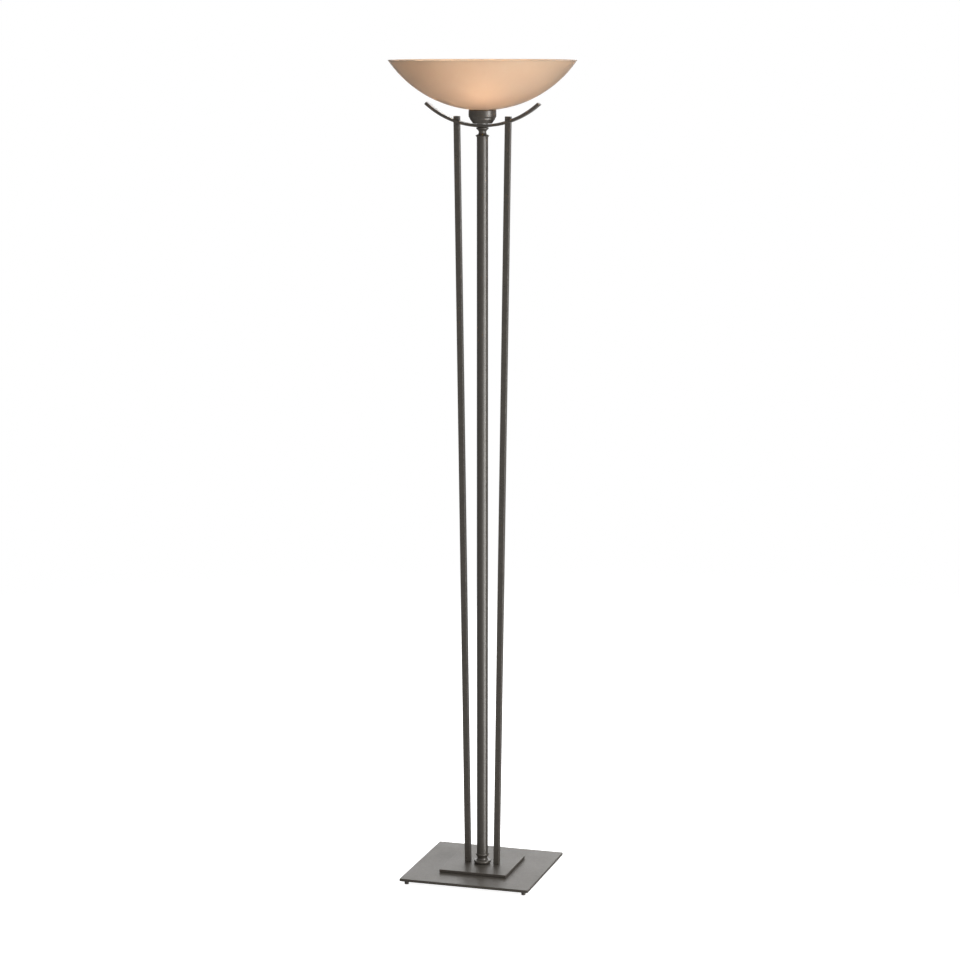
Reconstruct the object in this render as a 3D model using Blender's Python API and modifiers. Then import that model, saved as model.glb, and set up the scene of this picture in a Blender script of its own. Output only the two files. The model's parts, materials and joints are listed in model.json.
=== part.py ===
"""Torchiere floor lamp: a square steel foot, a column between two leaning bars, a bent
bar across their heads and a glass bowl that is clamped on a lampholder in a turned cup.

Metres, +Z up. The origin is on the floor, on the axis of the column; -Y is the front.
"""
import math

import bmesh
import bpy
from mathutils import Matrix

OBJECT_NAME = "torchiere_floor_lamp"

# Gaps
FIT = 0.0003             # between two faces that touch, and round a pin in its hole
BOWL_HOLE_PLAY = 0.0015  # round the lampholder in the bowl's hole

# Foot
BASE_SIDE = 0.303
BASE_THICK = 0.00635
PLINTH_SIDE = 0.1585
PLINTH_THICK = 0.00635
PLATE_EDGE = 0.0008      # rounding of the plates' edges
STAND_OFF = 0.009        # from the floor to the underside of the base plate

# Levelling glides
GLIDE_INSET = 0.0133     # from the base plate's edge to a glide's axis
GLIDE_RADIUS = 0.005
GLIDE_ROUND = 0.0014
STUD_RADIUS = 0.0025
STUD_IN_PLATE = 0.0046
STUD_IN_GLIDE = 0.0050

# Column
TUBE_RADIUS = 0.0127
TUBE_WALL = 0.0013
TUBE_LENGTH = 1.6445
TUBE_SEAT = 0.0025       # depth of a fitting's socket for the tube
FITTING_LIP = 0.0031     # how far the foot fitting's ring stands out from the tube
FOOT_FITTING_HEIGHT = 0.023
FOOT_BEAD_OVERHANG = 0.0068
FOOT_BEAD_RADIUS = 0.0035
FOOT_RING_HEIGHT = 0.0043
FOOT_WAIST_RADIUS = 0.0113
FOOT_WAIST_Z = 0.0110    # lower and upper end of the waist, from the fitting's foot
FOOT_WAIST_TOP = 0.0126
TOP_FITTING_LIP = 0.0033
TOP_FITTING_HEIGHT = 0.0214
TOP_RING_EDGE = 0.0031   # level of the ring's sharp edge, from the fitting's foot
TOP_RING_HEIGHT = 0.0055
TOP_WAIST_RADIUS = 0.00855
TOP_WAIST_Z = 0.0096
TOP_WAIST_TOP = 0.0120
TOP_FLANGE_RADIUS = 0.01385
TOP_FLANGE_ROUND = 0.002
TOP_FLARE_HEIGHT = 0.0036  # from the flare's upper end to the fitting's top

# Threaded pipe through the column, with what closes its lower end
PIPE_RADIUS = 0.0048
PIPE_BORE_RADIUS = 0.0033
PIPE_ABOVE_CAP_FLOOR = 0.0015
WASHER_RADIUS = 0.012
WASHER_THICK = 0.0012
NUT_FLATS = 0.0155
BASE_NUT_HEIGHT = 0.0036
PIPE_BELOW_NUT = 0.0006
BUSHING_FLANGE_RADIUS = 0.0058
BUSHING_FLANGE_THICK = 0.0011
BUSHING_DEPTH = 0.006
BUSHING_BORE_RADIUS = 0.0021

# Side bars and the bent bar that joins them
BAR_SIDE = 0.0127
BAR_EDGE = 0.0005
BAR_FOOT_X = 0.0343      # centre of a bar where it stands on the plinth plate
BAR_HEAD_X = 0.0592      # centre of a bar where it passes through the bent bar
BAR_ABOVE_ARC = 0.0085
ARC_INNER_RADIUS = 0.1932
ARC_THICK = 0.00635
ARC_HALF_ANGLE = math.radians(41.5)
ARC_CHEEK = 0.0041       # metal left in front of and behind a bar's square hole
ARC_STEPS = 32
SCREW_RADIUS = 0.003
SCREW_IN_BAR = 0.015
SCREW_HEAD_RADIUS = 0.0056

# Cup under the bowl
SEAT_WASHER_THICK = 0.001
CUP_RADIUS = 0.031
CUP_HEIGHT = 0.0302
CUP_SKIRT = 0.0155       # height of the cup's upright wall
CUP_STEP = 0.0021        # how far the wall steps in at its lower end
CUP_STEP_HEIGHT = 0.0022
CUP_LEDGE = 0.0013       # the second, lower step
CUP_LEDGE_HEIGHT = 0.0036
CUP_CHAMFER = 0.0012     # of the wall's lower edge
CUP_NECK_RADIUS = 0.0213
CUP_WALL = 0.0016
CUP_FLOOR = 0.002
CUP_NUT_HEIGHT = 0.0035

# Lampholder
HOLDER_RADIUS = 0.0195
HOLDER_HEIGHT = 0.030
HOLDER_FLANGE = 0.0055   # how far the shoulder under the bowl stands out
HOLDER_FLANGE_THICK = 0.002
CAP_RADIUS = 0.0185
CAP_WALL = 0.0015
CAP_FLOOR = 0.002
CAP_HEIGHT = 0.014
BLOCK_HEIGHT = 0.008
CONTACT_RADIUS = 0.0045
CONTACT_THICK = 0.001
TERMINAL_X = 0.0095
TERMINAL_HEAD_RADIUS = 0.0026
TERMINAL_HEAD_HEIGHT = 0.0018
TERMINAL_SHANK_RADIUS = 0.0015
TERMINAL_SHANK_LENGTH = 0.005
SHELL_RADIUS = 0.0139
SHELL_WALL = 0.0005
SHELL_HEIGHT = 0.0252
SHELL_MOUTH_RADIUS = 0.0095

# Bowl and its clamp
BOWL_RIM_RADIUS = 0.2090
BOWL_DEPTH = 0.1102
BOWL_WALL = 0.0045
GASKET_THICK = 0.0015
CLAMP_WIDTH = 0.0085     # from the lampholder to the upper gasket's edge
RING_HEIGHT = 0.006

# Bulb
BULB_LENGTH = 0.104
BULB_RADIUS = 0.030
BULB_NECK_RADIUS = 0.0122
BULB_GLASS = 0.0009
BULB_CAP_RADIUS = 0.0130
BULB_CAP_HEIGHT = 0.0225
BULB_CAP_WALL = 0.0004
BULB_TIP_RADIUS = 0.0045
BULB_TIP_HEIGHT = 0.0013
BULB_INSULATOR_HEIGHT = 0.0042

# Facets round a turned piece
STEPS_SMALL = 12
STEPS_MEDIUM = 20
STEPS_LARGE = 30
STEPS_BOWL = 44
BOWL_STEPS = 9           # from the rim to the hole
CUTTER_OVERRUN = 0.003

# Levels, from the floor up
BASE_Z = STAND_OFF
PLINTH_Z = BASE_Z + BASE_THICK + FIT
PLINTH_TOP = PLINTH_Z + PLINTH_THICK
FOOT_FITTING_Z = PLINTH_TOP + FIT
TUBE_Z = FOOT_FITTING_Z + FOOT_FITTING_HEIGHT - TUBE_SEAT + FIT
TOP_FITTING_Z = TUBE_Z + TUBE_LENGTH + FIT - TUBE_SEAT
ARC_Z = TOP_FITTING_Z + TOP_FITTING_HEIGHT + FIT
ARC_CENTRE_Z = ARC_Z + ARC_THICK + ARC_INNER_RADIUS


def arc_level(x, radius):
    """Height of the bent bar's face of that radius at a distance x from the axis."""
    return ARC_CENTRE_Z - math.sqrt(radius ** 2 - x ** 2)


SEAT_WASHER_Z = arc_level(WASHER_RADIUS, ARC_INNER_RADIUS) + FIT
CUP_Z = SEAT_WASHER_Z + SEAT_WASHER_THICK + FIT
CUP_RIM_Z = CUP_Z + CUP_HEIGHT
CUP_NUT_Z = CUP_Z + CUP_FLOOR + FIT
CAP_Z = CUP_NUT_Z + CUP_NUT_HEIGHT + FIT
HOLDER_Z = CAP_Z + CAP_HEIGHT + FIT
BLOCK_Z = CAP_Z + CAP_HEIGHT - FIT - BLOCK_HEIGHT
BLOCK_TOP = BLOCK_Z + BLOCK_HEIGHT
SHELL_Z = BLOCK_TOP + FIT
BULB_Z = SHELL_Z + CONTACT_THICK + FIT

BOWL_RADIUS = (BOWL_RIM_RADIUS ** 2 + BOWL_DEPTH ** 2) / (2 * BOWL_DEPTH)
BOWL_CENTRE_Z = CUP_RIM_Z + FIT + math.sqrt(BOWL_RADIUS ** 2 - CUP_RADIUS ** 2)


def bowl_level(radius, depth_in_wall):
    """Height of the bowl's wall at a radius, so far in from its outer face."""
    return BOWL_CENTRE_Z - math.sqrt((BOWL_RADIUS - depth_in_wall) ** 2 - radius ** 2)


BOWL_HOLE_RADIUS = HOLDER_RADIUS + BOWL_HOLE_PLAY
LOWER_GASKET_Z = bowl_level(BOWL_HOLE_RADIUS, 0) - FIT - GASKET_THICK
HOLDER_FLANGE_Z = LOWER_GASKET_Z - FIT - HOLDER_FLANGE_THICK
CLAMP_RADIUS = HOLDER_RADIUS + CLAMP_WIDTH
UPPER_GASKET_Z = bowl_level(CLAMP_RADIUS, BOWL_WALL) + FIT
RING_Z = UPPER_GASKET_Z + GASKET_THICK + FIT

BASE_WASHER_Z = BASE_Z - FIT - WASHER_THICK
BASE_NUT_Z = BASE_WASHER_Z - FIT - BASE_NUT_HEIGHT
PIPE_Z = BASE_NUT_Z - PIPE_BELOW_NUT
PIPE_TOP = CAP_Z + CAP_FLOOR + PIPE_ABOVE_CAP_FLOOR
PIPE_HOLE_RADIUS = PIPE_RADIUS + FIT

ARC_MIDDLE_RADIUS = ARC_INNER_RADIUS + ARC_THICK / 2
BAR_HEAD_Z = arc_level(BAR_HEAD_X, ARC_MIDDLE_RADIUS)
BAR_Z = PLINTH_TOP + FIT
BAR_LEAN = (BAR_HEAD_X - BAR_FOOT_X) / (BAR_HEAD_Z - BAR_Z)
BAR_TOP = arc_level(BAR_HEAD_X, ARC_INNER_RADIUS) + BAR_ABOVE_ARC
ARC_DEPTH = BAR_SIDE + 2 * ARC_CHEEK
GLIDE_XY = BASE_SIDE / 2 - GLIDE_INSET

# Finishes: colour, roughness, metallic
BRONZE_PAINT = ((0.075, 0.068, 0.060), 0.42, 0.6)
STEEL = ((0.55, 0.55, 0.54), 0.35, 1.0)
BRASS = ((0.72, 0.52, 0.24), 0.30, 1.0)
BLACK_PLASTIC = ((0.025, 0.025, 0.025), 0.5, 0.0)
BLACK_RUBBER = ((0.02, 0.02, 0.02), 0.8, 0.0)
PORCELAIN = ((0.85, 0.84, 0.80), 0.3, 0.0)
AMBER_GLASS = ((0.62, 0.42, 0.27), 0.25, 0.0)
FROSTED_GLASS = ((0.93, 0.92, 0.89), 0.4, 0.0)
ALUMINIUM = ((0.80, 0.80, 0.80), 0.3, 1.0)


def empty_scene():
    for old in list(bpy.data.objects):
        bpy.data.objects.remove(old)


def new_collection(name):
    made = bpy.data.collections.new(name)
    bpy.context.scene.collection.children.link(made)
    return made


def place(thing, x=0.0, y=0.0, z=0.0, parent=None):
    thing.location = (x, y, z)
    thing.parent = parent
    parts.objects.link(thing)
    return thing


def paint(piece, finish):
    colour, roughness, metallic = finish
    material = bpy.data.materials.new(piece.name + "_finish")
    material.use_nodes = True
    shader = material.node_tree.nodes["Principled BSDF"]
    shader.inputs["Base Color"].default_value = (*colour, 1)
    shader.inputs["Roughness"].default_value = roughness
    shader.inputs["Metallic"].default_value = metallic
    piece.data.materials.append(material)


def cut(piece, tool, x=0.0, y=0.0, z=0.0):
    """Cuts a hole in a piece with a tool that stands at a point of the lamp's frame."""
    tool.location = (x, y, z)
    tool.hide_render = True
    tool.display_type = "WIRE"
    cutters.objects.link(tool)
    hole = piece.modifiers.new("hole", "BOOLEAN")
    hole.operation = "DIFFERENCE"
    hole.solver = "EXACT"
    hole.object = tool


def round_edges(piece, width, segments=2):
    edges = piece.modifiers.new("edges", "BEVEL")
    edges.width = width
    edges.segments = segments
    edges.limit_method = "ANGLE"


def turned(name, profile, steps=STEPS_LARGE, hollow=True):
    """A body of revolution about Z. The profile of (radius, height) points runs down
    the outer side, and on a hollow piece up the inner side and back to its start."""
    count = len(profile)
    edges = [(i, i + 1) for i in range(count - 1)]
    if hollow:
        edges.append((count - 1, 0))
    mesh = bpy.data.meshes.new(name)
    mesh.from_pydata([(radius, 0, height) for radius, height in profile], edges, [])
    piece = bpy.data.objects.new(name, mesh)
    screw = piece.modifiers.new("turn", "SCREW")
    screw.axis = "Z"
    screw.angle = 2 * math.pi
    screw.steps = steps
    screw.render_steps = steps
    screw.use_merge_vertices = True
    screw.merge_threshold = 0.00001
    screw.use_smooth_shade = True
    return piece


def ring(name, inner, outer, height, steps=STEPS_LARGE):
    profile = [(outer, height), (outer, 0), (inner, 0), (inner, height)]
    return turned(name, profile, steps)


def round_stretch(centre_radius, centre_height, radius, start, end, count):
    """Points on a round stretch of a profile, between two angles in degrees."""
    angles = [math.radians(start + (end - start) * i / count) for i in range(count + 1)]
    return [(centre_radius + radius * math.cos(angle), centre_height + radius * math.sin(angle))
            for angle in angles]


def curved_stretch(start, bend, end, count):
    """Points on a curve that leaves start and reaches end in the directions of bend."""
    points = []
    for i in range(count + 1):
        t = i / count
        weights = ((1 - t) ** 2, 2 * t * (1 - t), t ** 2)
        points.append(tuple(sum(w * p[axis] for w, p in zip(weights, (start, bend, end)))
                            for axis in (0, 1)))
    return points


def drum(name, radius, height, steps=STEPS_SMALL):
    """A plain cylinder or prism that stands on its origin."""
    mesh = bpy.data.meshes.new(name)
    shape = bmesh.new()
    bmesh.ops.create_cone(shape, cap_ends=True, segments=steps, radius1=radius,
                          radius2=radius, depth=height)
    bmesh.ops.translate(shape, verts=shape.verts, vec=(0, 0, height / 2))
    shape.to_mesh(mesh)
    shape.free()
    return bpy.data.objects.new(name, mesh)


def hole_tool(name, radius, height, steps=STEPS_SMALL):
    """A drum that sticks out of both ends of the hole it cuts."""
    tool = drum(name, radius, height + 2 * CUTTER_OVERRUN, steps)
    tool.data.transform(Matrix.Translation((0, 0, -CUTTER_OVERRUN)))
    return tool


def block(name, width, depth, height, lean=0.0):
    """A box that stands on its origin. Where it leans along X, its ends stay level."""
    mesh = bpy.data.meshes.new(name)
    shape = bmesh.new()
    bmesh.ops.create_cube(shape, size=1)
    bmesh.ops.scale(shape, verts=shape.verts, vec=(width, depth, height))
    bmesh.ops.translate(shape, verts=shape.verts, vec=(0, 0, height / 2))
    for corner in shape.verts:
        corner.co.x += lean * corner.co.z
    shape.to_mesh(mesh)
    shape.free()
    return bpy.data.objects.new(name, mesh)


def upright_outline(name, points, depth):
    """A flat outline of (x, z) points, given its depth along Y and made a mesh."""
    curve = bpy.data.curves.new(name + "_outline", "CURVE")
    curve.dimensions = "2D"
    curve.fill_mode = "BOTH"
    curve.extrude = depth / 2
    spline = curve.splines.new("POLY")
    spline.points.add(len(points) - 1)
    for point, (x, z) in zip(spline.points, points):
        point.co = (x, z, 0, 1)
    spline.use_cyclic_u = True
    outline = bpy.data.objects.new(name + "_outline", curve)
    outline.rotation_euler.x = math.pi / 2
    bpy.context.scene.collection.objects.link(outline)
    graph = bpy.context.evaluated_depsgraph_get()
    mesh = bpy.data.meshes.new_from_object(outline.evaluated_get(graph))
    shape = bmesh.new()
    shape.from_mesh(mesh)
    bmesh.ops.remove_doubles(shape, verts=shape.verts, dist=0.00001)
    shape.to_mesh(mesh)
    shape.free()
    mesh.name = name
    piece = bpy.data.objects.new(name, mesh)
    piece.matrix_world = outline.matrix_world
    bpy.data.objects.remove(outline)
    return piece


def glide_places():
    for y_name, y_side in (("front", -1), ("rear", 1)):
        for x_name, x_side in (("left", -1), ("right", 1)):
            yield f"{y_name}_{x_name}", x_side * GLIDE_XY, y_side * GLIDE_XY


def bar_places():
    yield "left", -1
    yield "right", 1


def base_plate():
    plate = block("base_plate", BASE_SIDE, BASE_SIDE, BASE_THICK)
    round_edges(plate, PLATE_EDGE)
    cut(plate, hole_tool("base_pipe_hole", PIPE_HOLE_RADIUS, BASE_THICK), z=BASE_Z)
    for side_name, side in bar_places():
        tool = turned(f"base_screw_hole_{side_name}", screw_profile(FIT, CUTTER_OVERRUN),
                      STEPS_SMALL, hollow=False)
        cut(plate, tool, x=side * BAR_FOOT_X, z=BASE_Z)
    for corner, x, y in glide_places():
        tool = drum(f"base_stud_hole_{corner}", STUD_RADIUS + FIT,
                    CUTTER_OVERRUN + STUD_IN_PLATE + FIT)
        cut(plate, tool, x, y, BASE_Z - CUTTER_OVERRUN)
    paint(place(plate, z=BASE_Z), BRONZE_PAINT)


def plinth_plate():
    plate = block("plinth_plate", PLINTH_SIDE, PLINTH_SIDE, PLINTH_THICK)
    round_edges(plate, PLATE_EDGE)
    cut(plate, hole_tool("plinth_pipe_hole", PIPE_HOLE_RADIUS, PLINTH_THICK), z=PLINTH_Z)
    for side_name, side in bar_places():
        tool = hole_tool(f"plinth_screw_hole_{side_name}", SCREW_RADIUS + FIT, PLINTH_THICK)
        cut(plate, tool, x=side * BAR_FOOT_X, z=PLINTH_Z)
    paint(place(plate, z=PLINTH_Z), BRONZE_PAINT)


def levelling_glides():
    """Each foot and its threaded stud hang on one point of their common axis."""
    foot_height = STAND_OFF - FIT
    socket = STUD_RADIUS + FIT
    socket_floor = foot_height - STUD_IN_GLIDE
    profile = [(socket, foot_height), (GLIDE_RADIUS, foot_height)]
    profile += round_stretch(GLIDE_RADIUS - GLIDE_ROUND, GLIDE_ROUND, GLIDE_ROUND, 0, -90, 3)
    profile += [(0, 0)]
    for corner, x, y in glide_places():
        axis = place(bpy.data.objects.new(f"glide_axis_{corner}", None), x, y)
        foot = turned(f"glide_foot_{corner}", [(0, socket_floor), (socket, socket_floor)] + profile,
                      STEPS_SMALL, hollow=False)
        paint(place(foot, parent=axis), BRONZE_PAINT)
        stud = drum(f"glide_stud_{corner}", STUD_RADIUS, STUD_IN_GLIDE + STUD_IN_PLATE)
        paint(place(stud, z=socket_floor + FIT, parent=axis), STEEL)


def foot_fitting():
    """A turned foot for the tube: bead, hollow flare, waist and ring."""
    bead = TUBE_RADIUS + FOOT_BEAD_OVERHANG - FOOT_BEAD_RADIUS
    bead_top = 2 * FOOT_BEAD_RADIUS
    rim = TUBE_RADIUS + FITTING_LIP
    top = FOOT_FITTING_HEIGHT
    ring_foot = top - FOOT_RING_HEIGHT
    ring_slope = FITTING_LIP * 0.4
    socket = TUBE_RADIUS + FIT
    waist = FOOT_WAIST_RADIUS
    upper_bend = (waist + ring_slope, (ring_foot + FOOT_WAIST_TOP) / 2 + ring_slope / 2)
    lower_bend = (waist + ring_slope / 2, bead_top + ring_slope)
    profile = [(socket, top), (rim - ring_slope, top), (rim, top - FOOT_RING_HEIGHT / 2)]
    profile += curved_stretch((rim - ring_slope, ring_foot), upper_bend, (waist, FOOT_WAIST_TOP), 3)
    profile += curved_stretch((waist, FOOT_WAIST_Z), lower_bend, (bead, bead_top), 4)
    profile += round_stretch(bead, FOOT_BEAD_RADIUS, FOOT_BEAD_RADIUS, 60, -90, 4)
    profile += [(PIPE_HOLE_RADIUS, 0), (PIPE_HOLE_RADIUS, top - TUBE_SEAT), (socket, top - TUBE_SEAT)]
    paint(place(turned("foot_fitting", profile), z=FOOT_FITTING_Z), BRONZE_PAINT)


def column_tube():
    tube = ring("column_tube", TUBE_RADIUS - TUBE_WALL, TUBE_RADIUS, TUBE_LENGTH)
    paint(place(tube, z=TUBE_Z), BRONZE_PAINT)


def top_fitting():
    """A turned head for the tube: sharp ring, waist and a flare up to the bent bar."""
    rim = TUBE_RADIUS + TOP_FITTING_LIP
    top = TOP_FITTING_HEIGHT
    flange = TOP_FLANGE_RADIUS - TOP_FLANGE_ROUND
    waist = TOP_WAIST_RADIUS
    ring_slope = TOP_RING_HEIGHT - TOP_RING_EDGE
    socket = TUBE_RADIUS + FIT
    flare_top = (TOP_FLANGE_RADIUS - FIT, top - TOP_FLARE_HEIGHT)
    flare_bend = (waist + ring_slope / 3, (TOP_WAIST_TOP + flare_top[1]) / 2)
    ring_bend = (waist + FIT, TOP_RING_HEIGHT + ring_slope / 2)
    profile = [(PIPE_HOLE_RADIUS, top)]
    profile += round_stretch(flange, top - TOP_FLANGE_ROUND, TOP_FLANGE_ROUND, 80, -15, 4)
    profile += curved_stretch(flare_top, flare_bend, (waist, TOP_WAIST_TOP), 4)
    profile += curved_stretch((waist, TOP_WAIST_Z), ring_bend,
                              (rim - 1.5 * ring_slope, TOP_RING_HEIGHT), 3)
    profile += [(rim, TOP_RING_EDGE), (rim - ring_slope, TOP_RING_EDGE / 2), (socket + FIT, 0),
                (socket, 0), (socket, TUBE_SEAT), (PIPE_HOLE_RADIUS, TUBE_SEAT)]
    paint(place(turned("top_fitting", profile), z=TOP_FITTING_Z), BRONZE_PAINT)


def threaded_pipe():
    pipe = ring("threaded_pipe", PIPE_BORE_RADIUS, PIPE_RADIUS, PIPE_TOP - PIPE_Z, STEPS_SMALL)
    paint(place(pipe, z=PIPE_Z), STEEL)


def pipe_nut(name, height, level):
    nut = drum(name, NUT_FLATS / math.sqrt(3), height, steps=6)
    cut(nut, hole_tool(name + "_hole", PIPE_HOLE_RADIUS, height), z=level)
    paint(place(nut, z=level), STEEL)


def pipe_end():
    """What draws the pipe tight under the base plate, and the inlet for the cord."""
    washer = ring("base_washer", PIPE_HOLE_RADIUS, WASHER_RADIUS, WASHER_THICK, STEPS_MEDIUM)
    paint(place(washer, z=BASE_WASHER_Z), STEEL)
    pipe_nut("base_nut", BASE_NUT_HEIGHT, BASE_NUT_Z)
    flange_top = BUSHING_FLANGE_THICK
    sleeve = PIPE_BORE_RADIUS - FIT
    profile = [(sleeve, flange_top + BUSHING_DEPTH), (sleeve, flange_top),
               (BUSHING_FLANGE_RADIUS, flange_top), (BUSHING_FLANGE_RADIUS, 0),
               (BUSHING_BORE_RADIUS, 0), (BUSHING_BORE_RADIUS, flange_top + BUSHING_DEPTH)]
    bushing = turned("cord_bushing", profile, STEPS_SMALL)
    paint(place(bushing, z=PIPE_Z - FIT - BUSHING_FLANGE_THICK), BLACK_PLASTIC)


def screw_profile(play=0.0, overrun=0.0):
    """A flat-headed screw, head down, from the base plate's underside into a bar. With
    play it is the hole for it, which overruns the underside."""
    head, shank = SCREW_HEAD_RADIUS + play, SCREW_RADIUS + play
    top = BAR_Z - BASE_Z + SCREW_IN_BAR
    under_head = SCREW_HEAD_RADIUS - SCREW_RADIUS
    return [(0, top), (shank, top), (shank, under_head), (head, 0), (head, -overrun),
            (0, -overrun)]


def side_bars():
    """Two square bars that lean apart, each held by a screw from under the base."""
    for side_name, side in bar_places():
        bar = block(f"side_bar_{side_name}", BAR_SIDE, BAR_SIDE, BAR_TOP - BAR_Z, side * BAR_LEAN)
        round_edges(bar, BAR_EDGE, segments=1)
        depth = SCREW_IN_BAR + FIT
        tool = drum(f"bar_screw_hole_{side_name}", SCREW_RADIUS + FIT, CUTTER_OVERRUN + depth)
        cut(bar, tool, x=side * BAR_FOOT_X, z=BAR_Z - CUTTER_OVERRUN)
        paint(place(bar, x=side * BAR_FOOT_X, z=BAR_Z), BRONZE_PAINT)
        screw = turned(f"bar_screw_{side_name}", screw_profile(), STEPS_SMALL, hollow=False)
        paint(place(screw, x=side * BAR_FOOT_X, z=BASE_Z), STEEL)


def bent_bar():
    """A flat bar bent to an arc, with a hole for the pipe and a square one for each bar."""
    points = []
    for radius, direction in ((ARC_INNER_RADIUS, 1), (ARC_INNER_RADIUS + ARC_THICK, -1)):
        for i in range(ARC_STEPS + 1):
            angle = direction * ARC_HALF_ANGLE * (2 * i / ARC_STEPS - 1)
            points.append((radius * math.sin(angle), ARC_CENTRE_Z - radius * math.cos(angle)))
    bar = upright_outline("bent_bar", points, ARC_DEPTH)
    cut(bar, hole_tool("bent_bar_pipe_hole", PIPE_HOLE_RADIUS, ARC_THICK), z=ARC_Z)
    for side_name, side in bar_places():
        tool = block(f"bent_bar_square_hole_{side_name}", BAR_SIDE + 2 * FIT, BAR_SIDE + 2 * FIT,
                     BAR_TOP - BAR_Z + CUTTER_OVERRUN, side * BAR_LEAN)
        cut(bar, tool, x=side * BAR_FOOT_X, z=BAR_Z)
    parts.objects.link(bar)
    paint(bar, BRONZE_PAINT)


def socket_cup():
    """A turned cup: upright wall, step, and a tapered side down to its neck."""
    washer = ring("cup_seat_washer", PIPE_HOLE_RADIUS, WASHER_RADIUS, SEAT_WASHER_THICK,
                  STEPS_MEDIUM)
    paint(place(washer, z=SEAT_WASHER_Z), STEEL)
    wall_foot = CUP_HEIGHT - CUP_SKIRT
    shoulder = CUP_RADIUS - CUP_STEP
    shoulder_z = wall_foot - CUP_STEP_HEIGHT
    ledge, ledge_z = shoulder - CUP_LEDGE, shoulder_z - CUP_LEDGE_HEIGHT
    inner = CUP_RADIUS - CUP_WALL
    taper_start = (ledge - CUP_WALL / 2, ledge_z - CUP_WALL / 2)
    taper_bend = (CUP_NECK_RADIUS + 1.2 * CUP_WALL, 1.3 * CUP_FLOOR)
    profile = [(inner, CUP_HEIGHT), (CUP_RADIUS, CUP_HEIGHT), (CUP_RADIUS, wall_foot),
               (CUP_RADIUS - CUP_CHAMFER, wall_foot - CUP_CHAMFER), (shoulder, shoulder_z),
               (ledge, ledge_z)]
    profile += curved_stretch(taper_start, taper_bend, (CUP_NECK_RADIUS, 0), 4)
    profile += [(PIPE_HOLE_RADIUS, 0), (PIPE_HOLE_RADIUS, CUP_FLOOR),
                (CUP_NECK_RADIUS - CUP_WALL, CUP_FLOOR), (ledge - 2.2 * CUP_WALL, ledge_z),
                (inner, wall_foot + CUP_WALL)]
    paint(place(turned("socket_cup", profile), z=CUP_Z), BRONZE_PAINT)
    pipe_nut("cup_nut", CUP_NUT_HEIGHT, CUP_NUT_Z)


def lampholder():
    """Cap, insulating block with its screws, contact, screw shell and outer body."""
    block_radius = CAP_RADIUS - CAP_WALL - FIT
    cap_profile = [(CAP_RADIUS - CAP_WALL, CAP_HEIGHT), (CAP_RADIUS, CAP_HEIGHT),
                   (CAP_RADIUS, 0.002), (CAP_RADIUS - 0.002, 0), (PIPE_HOLE_RADIUS, 0),
                   (PIPE_HOLE_RADIUS, CAP_FLOOR), (CAP_RADIUS - CAP_WALL, CAP_FLOOR)]
    paint(place(turned("lampholder_cap", cap_profile), z=CAP_Z), BLACK_PLASTIC)

    terminal_block = drum("terminal_block", block_radius, BLOCK_HEIGHT, STEPS_MEDIUM)
    shank_profile = [(0, TERMINAL_SHANK_LENGTH), (TERMINAL_SHANK_RADIUS, TERMINAL_SHANK_LENGTH),
                     (TERMINAL_SHANK_RADIUS, -FIT), (TERMINAL_HEAD_RADIUS, -FIT),
                     (TERMINAL_HEAD_RADIUS, -FIT - TERMINAL_HEAD_HEIGHT),
                     (0, -FIT - TERMINAL_HEAD_HEIGHT)]
    for side_name, side in bar_places():
        tool = drum(f"terminal_hole_{side_name}", TERMINAL_SHANK_RADIUS + FIT,
                    CUTTER_OVERRUN + TERMINAL_SHANK_LENGTH + FIT)
        cut(terminal_block, tool, x=side * TERMINAL_X, z=BLOCK_Z - CUTTER_OVERRUN)
        screw = turned(f"terminal_screw_{side_name}", shank_profile, STEPS_SMALL, hollow=False)
        paint(place(screw, x=side * TERMINAL_X, z=BLOCK_Z), BRASS)
    paint(place(terminal_block, z=BLOCK_Z), PORCELAIN)

    contact_profile = [(0, CONTACT_THICK), (CONTACT_RADIUS / 2, CONTACT_THICK),
                       (CONTACT_RADIUS, CONTACT_THICK / 2), (CONTACT_RADIUS, 0), (0, 0)]
    contact = turned("centre_contact", contact_profile, STEPS_SMALL, hollow=False)
    paint(place(contact, z=SHELL_Z), BRASS)

    bore = SHELL_RADIUS - SHELL_WALL
    shell_profile = [(bore, SHELL_HEIGHT), (SHELL_RADIUS, SHELL_HEIGHT), (SHELL_RADIUS, 0),
                     (SHELL_MOUTH_RADIUS, 0), (SHELL_MOUTH_RADIUS, SHELL_WALL), (bore, SHELL_WALL)]
    paint(place(turned("screw_shell", shell_profile), z=SHELL_Z), BRASS)

    flange_foot = HOLDER_FLANGE_Z - HOLDER_Z
    flange_top = flange_foot + HOLDER_FLANGE_THICK
    flange_radius = HOLDER_RADIUS + HOLDER_FLANGE
    inner = SHELL_RADIUS + FIT
    body_profile = [(inner, HOLDER_HEIGHT), (HOLDER_RADIUS - 0.0008, HOLDER_HEIGHT),
                    (HOLDER_RADIUS, HOLDER_HEIGHT - 0.0008), (HOLDER_RADIUS, flange_top),
                    (flange_radius, flange_top), (flange_radius, flange_foot),
                    (HOLDER_RADIUS, flange_foot), (HOLDER_RADIUS, 0), (inner, 0)]
    paint(place(turned("lampholder_body", body_profile), z=HOLDER_Z), BLACK_PLASTIC)


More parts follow.
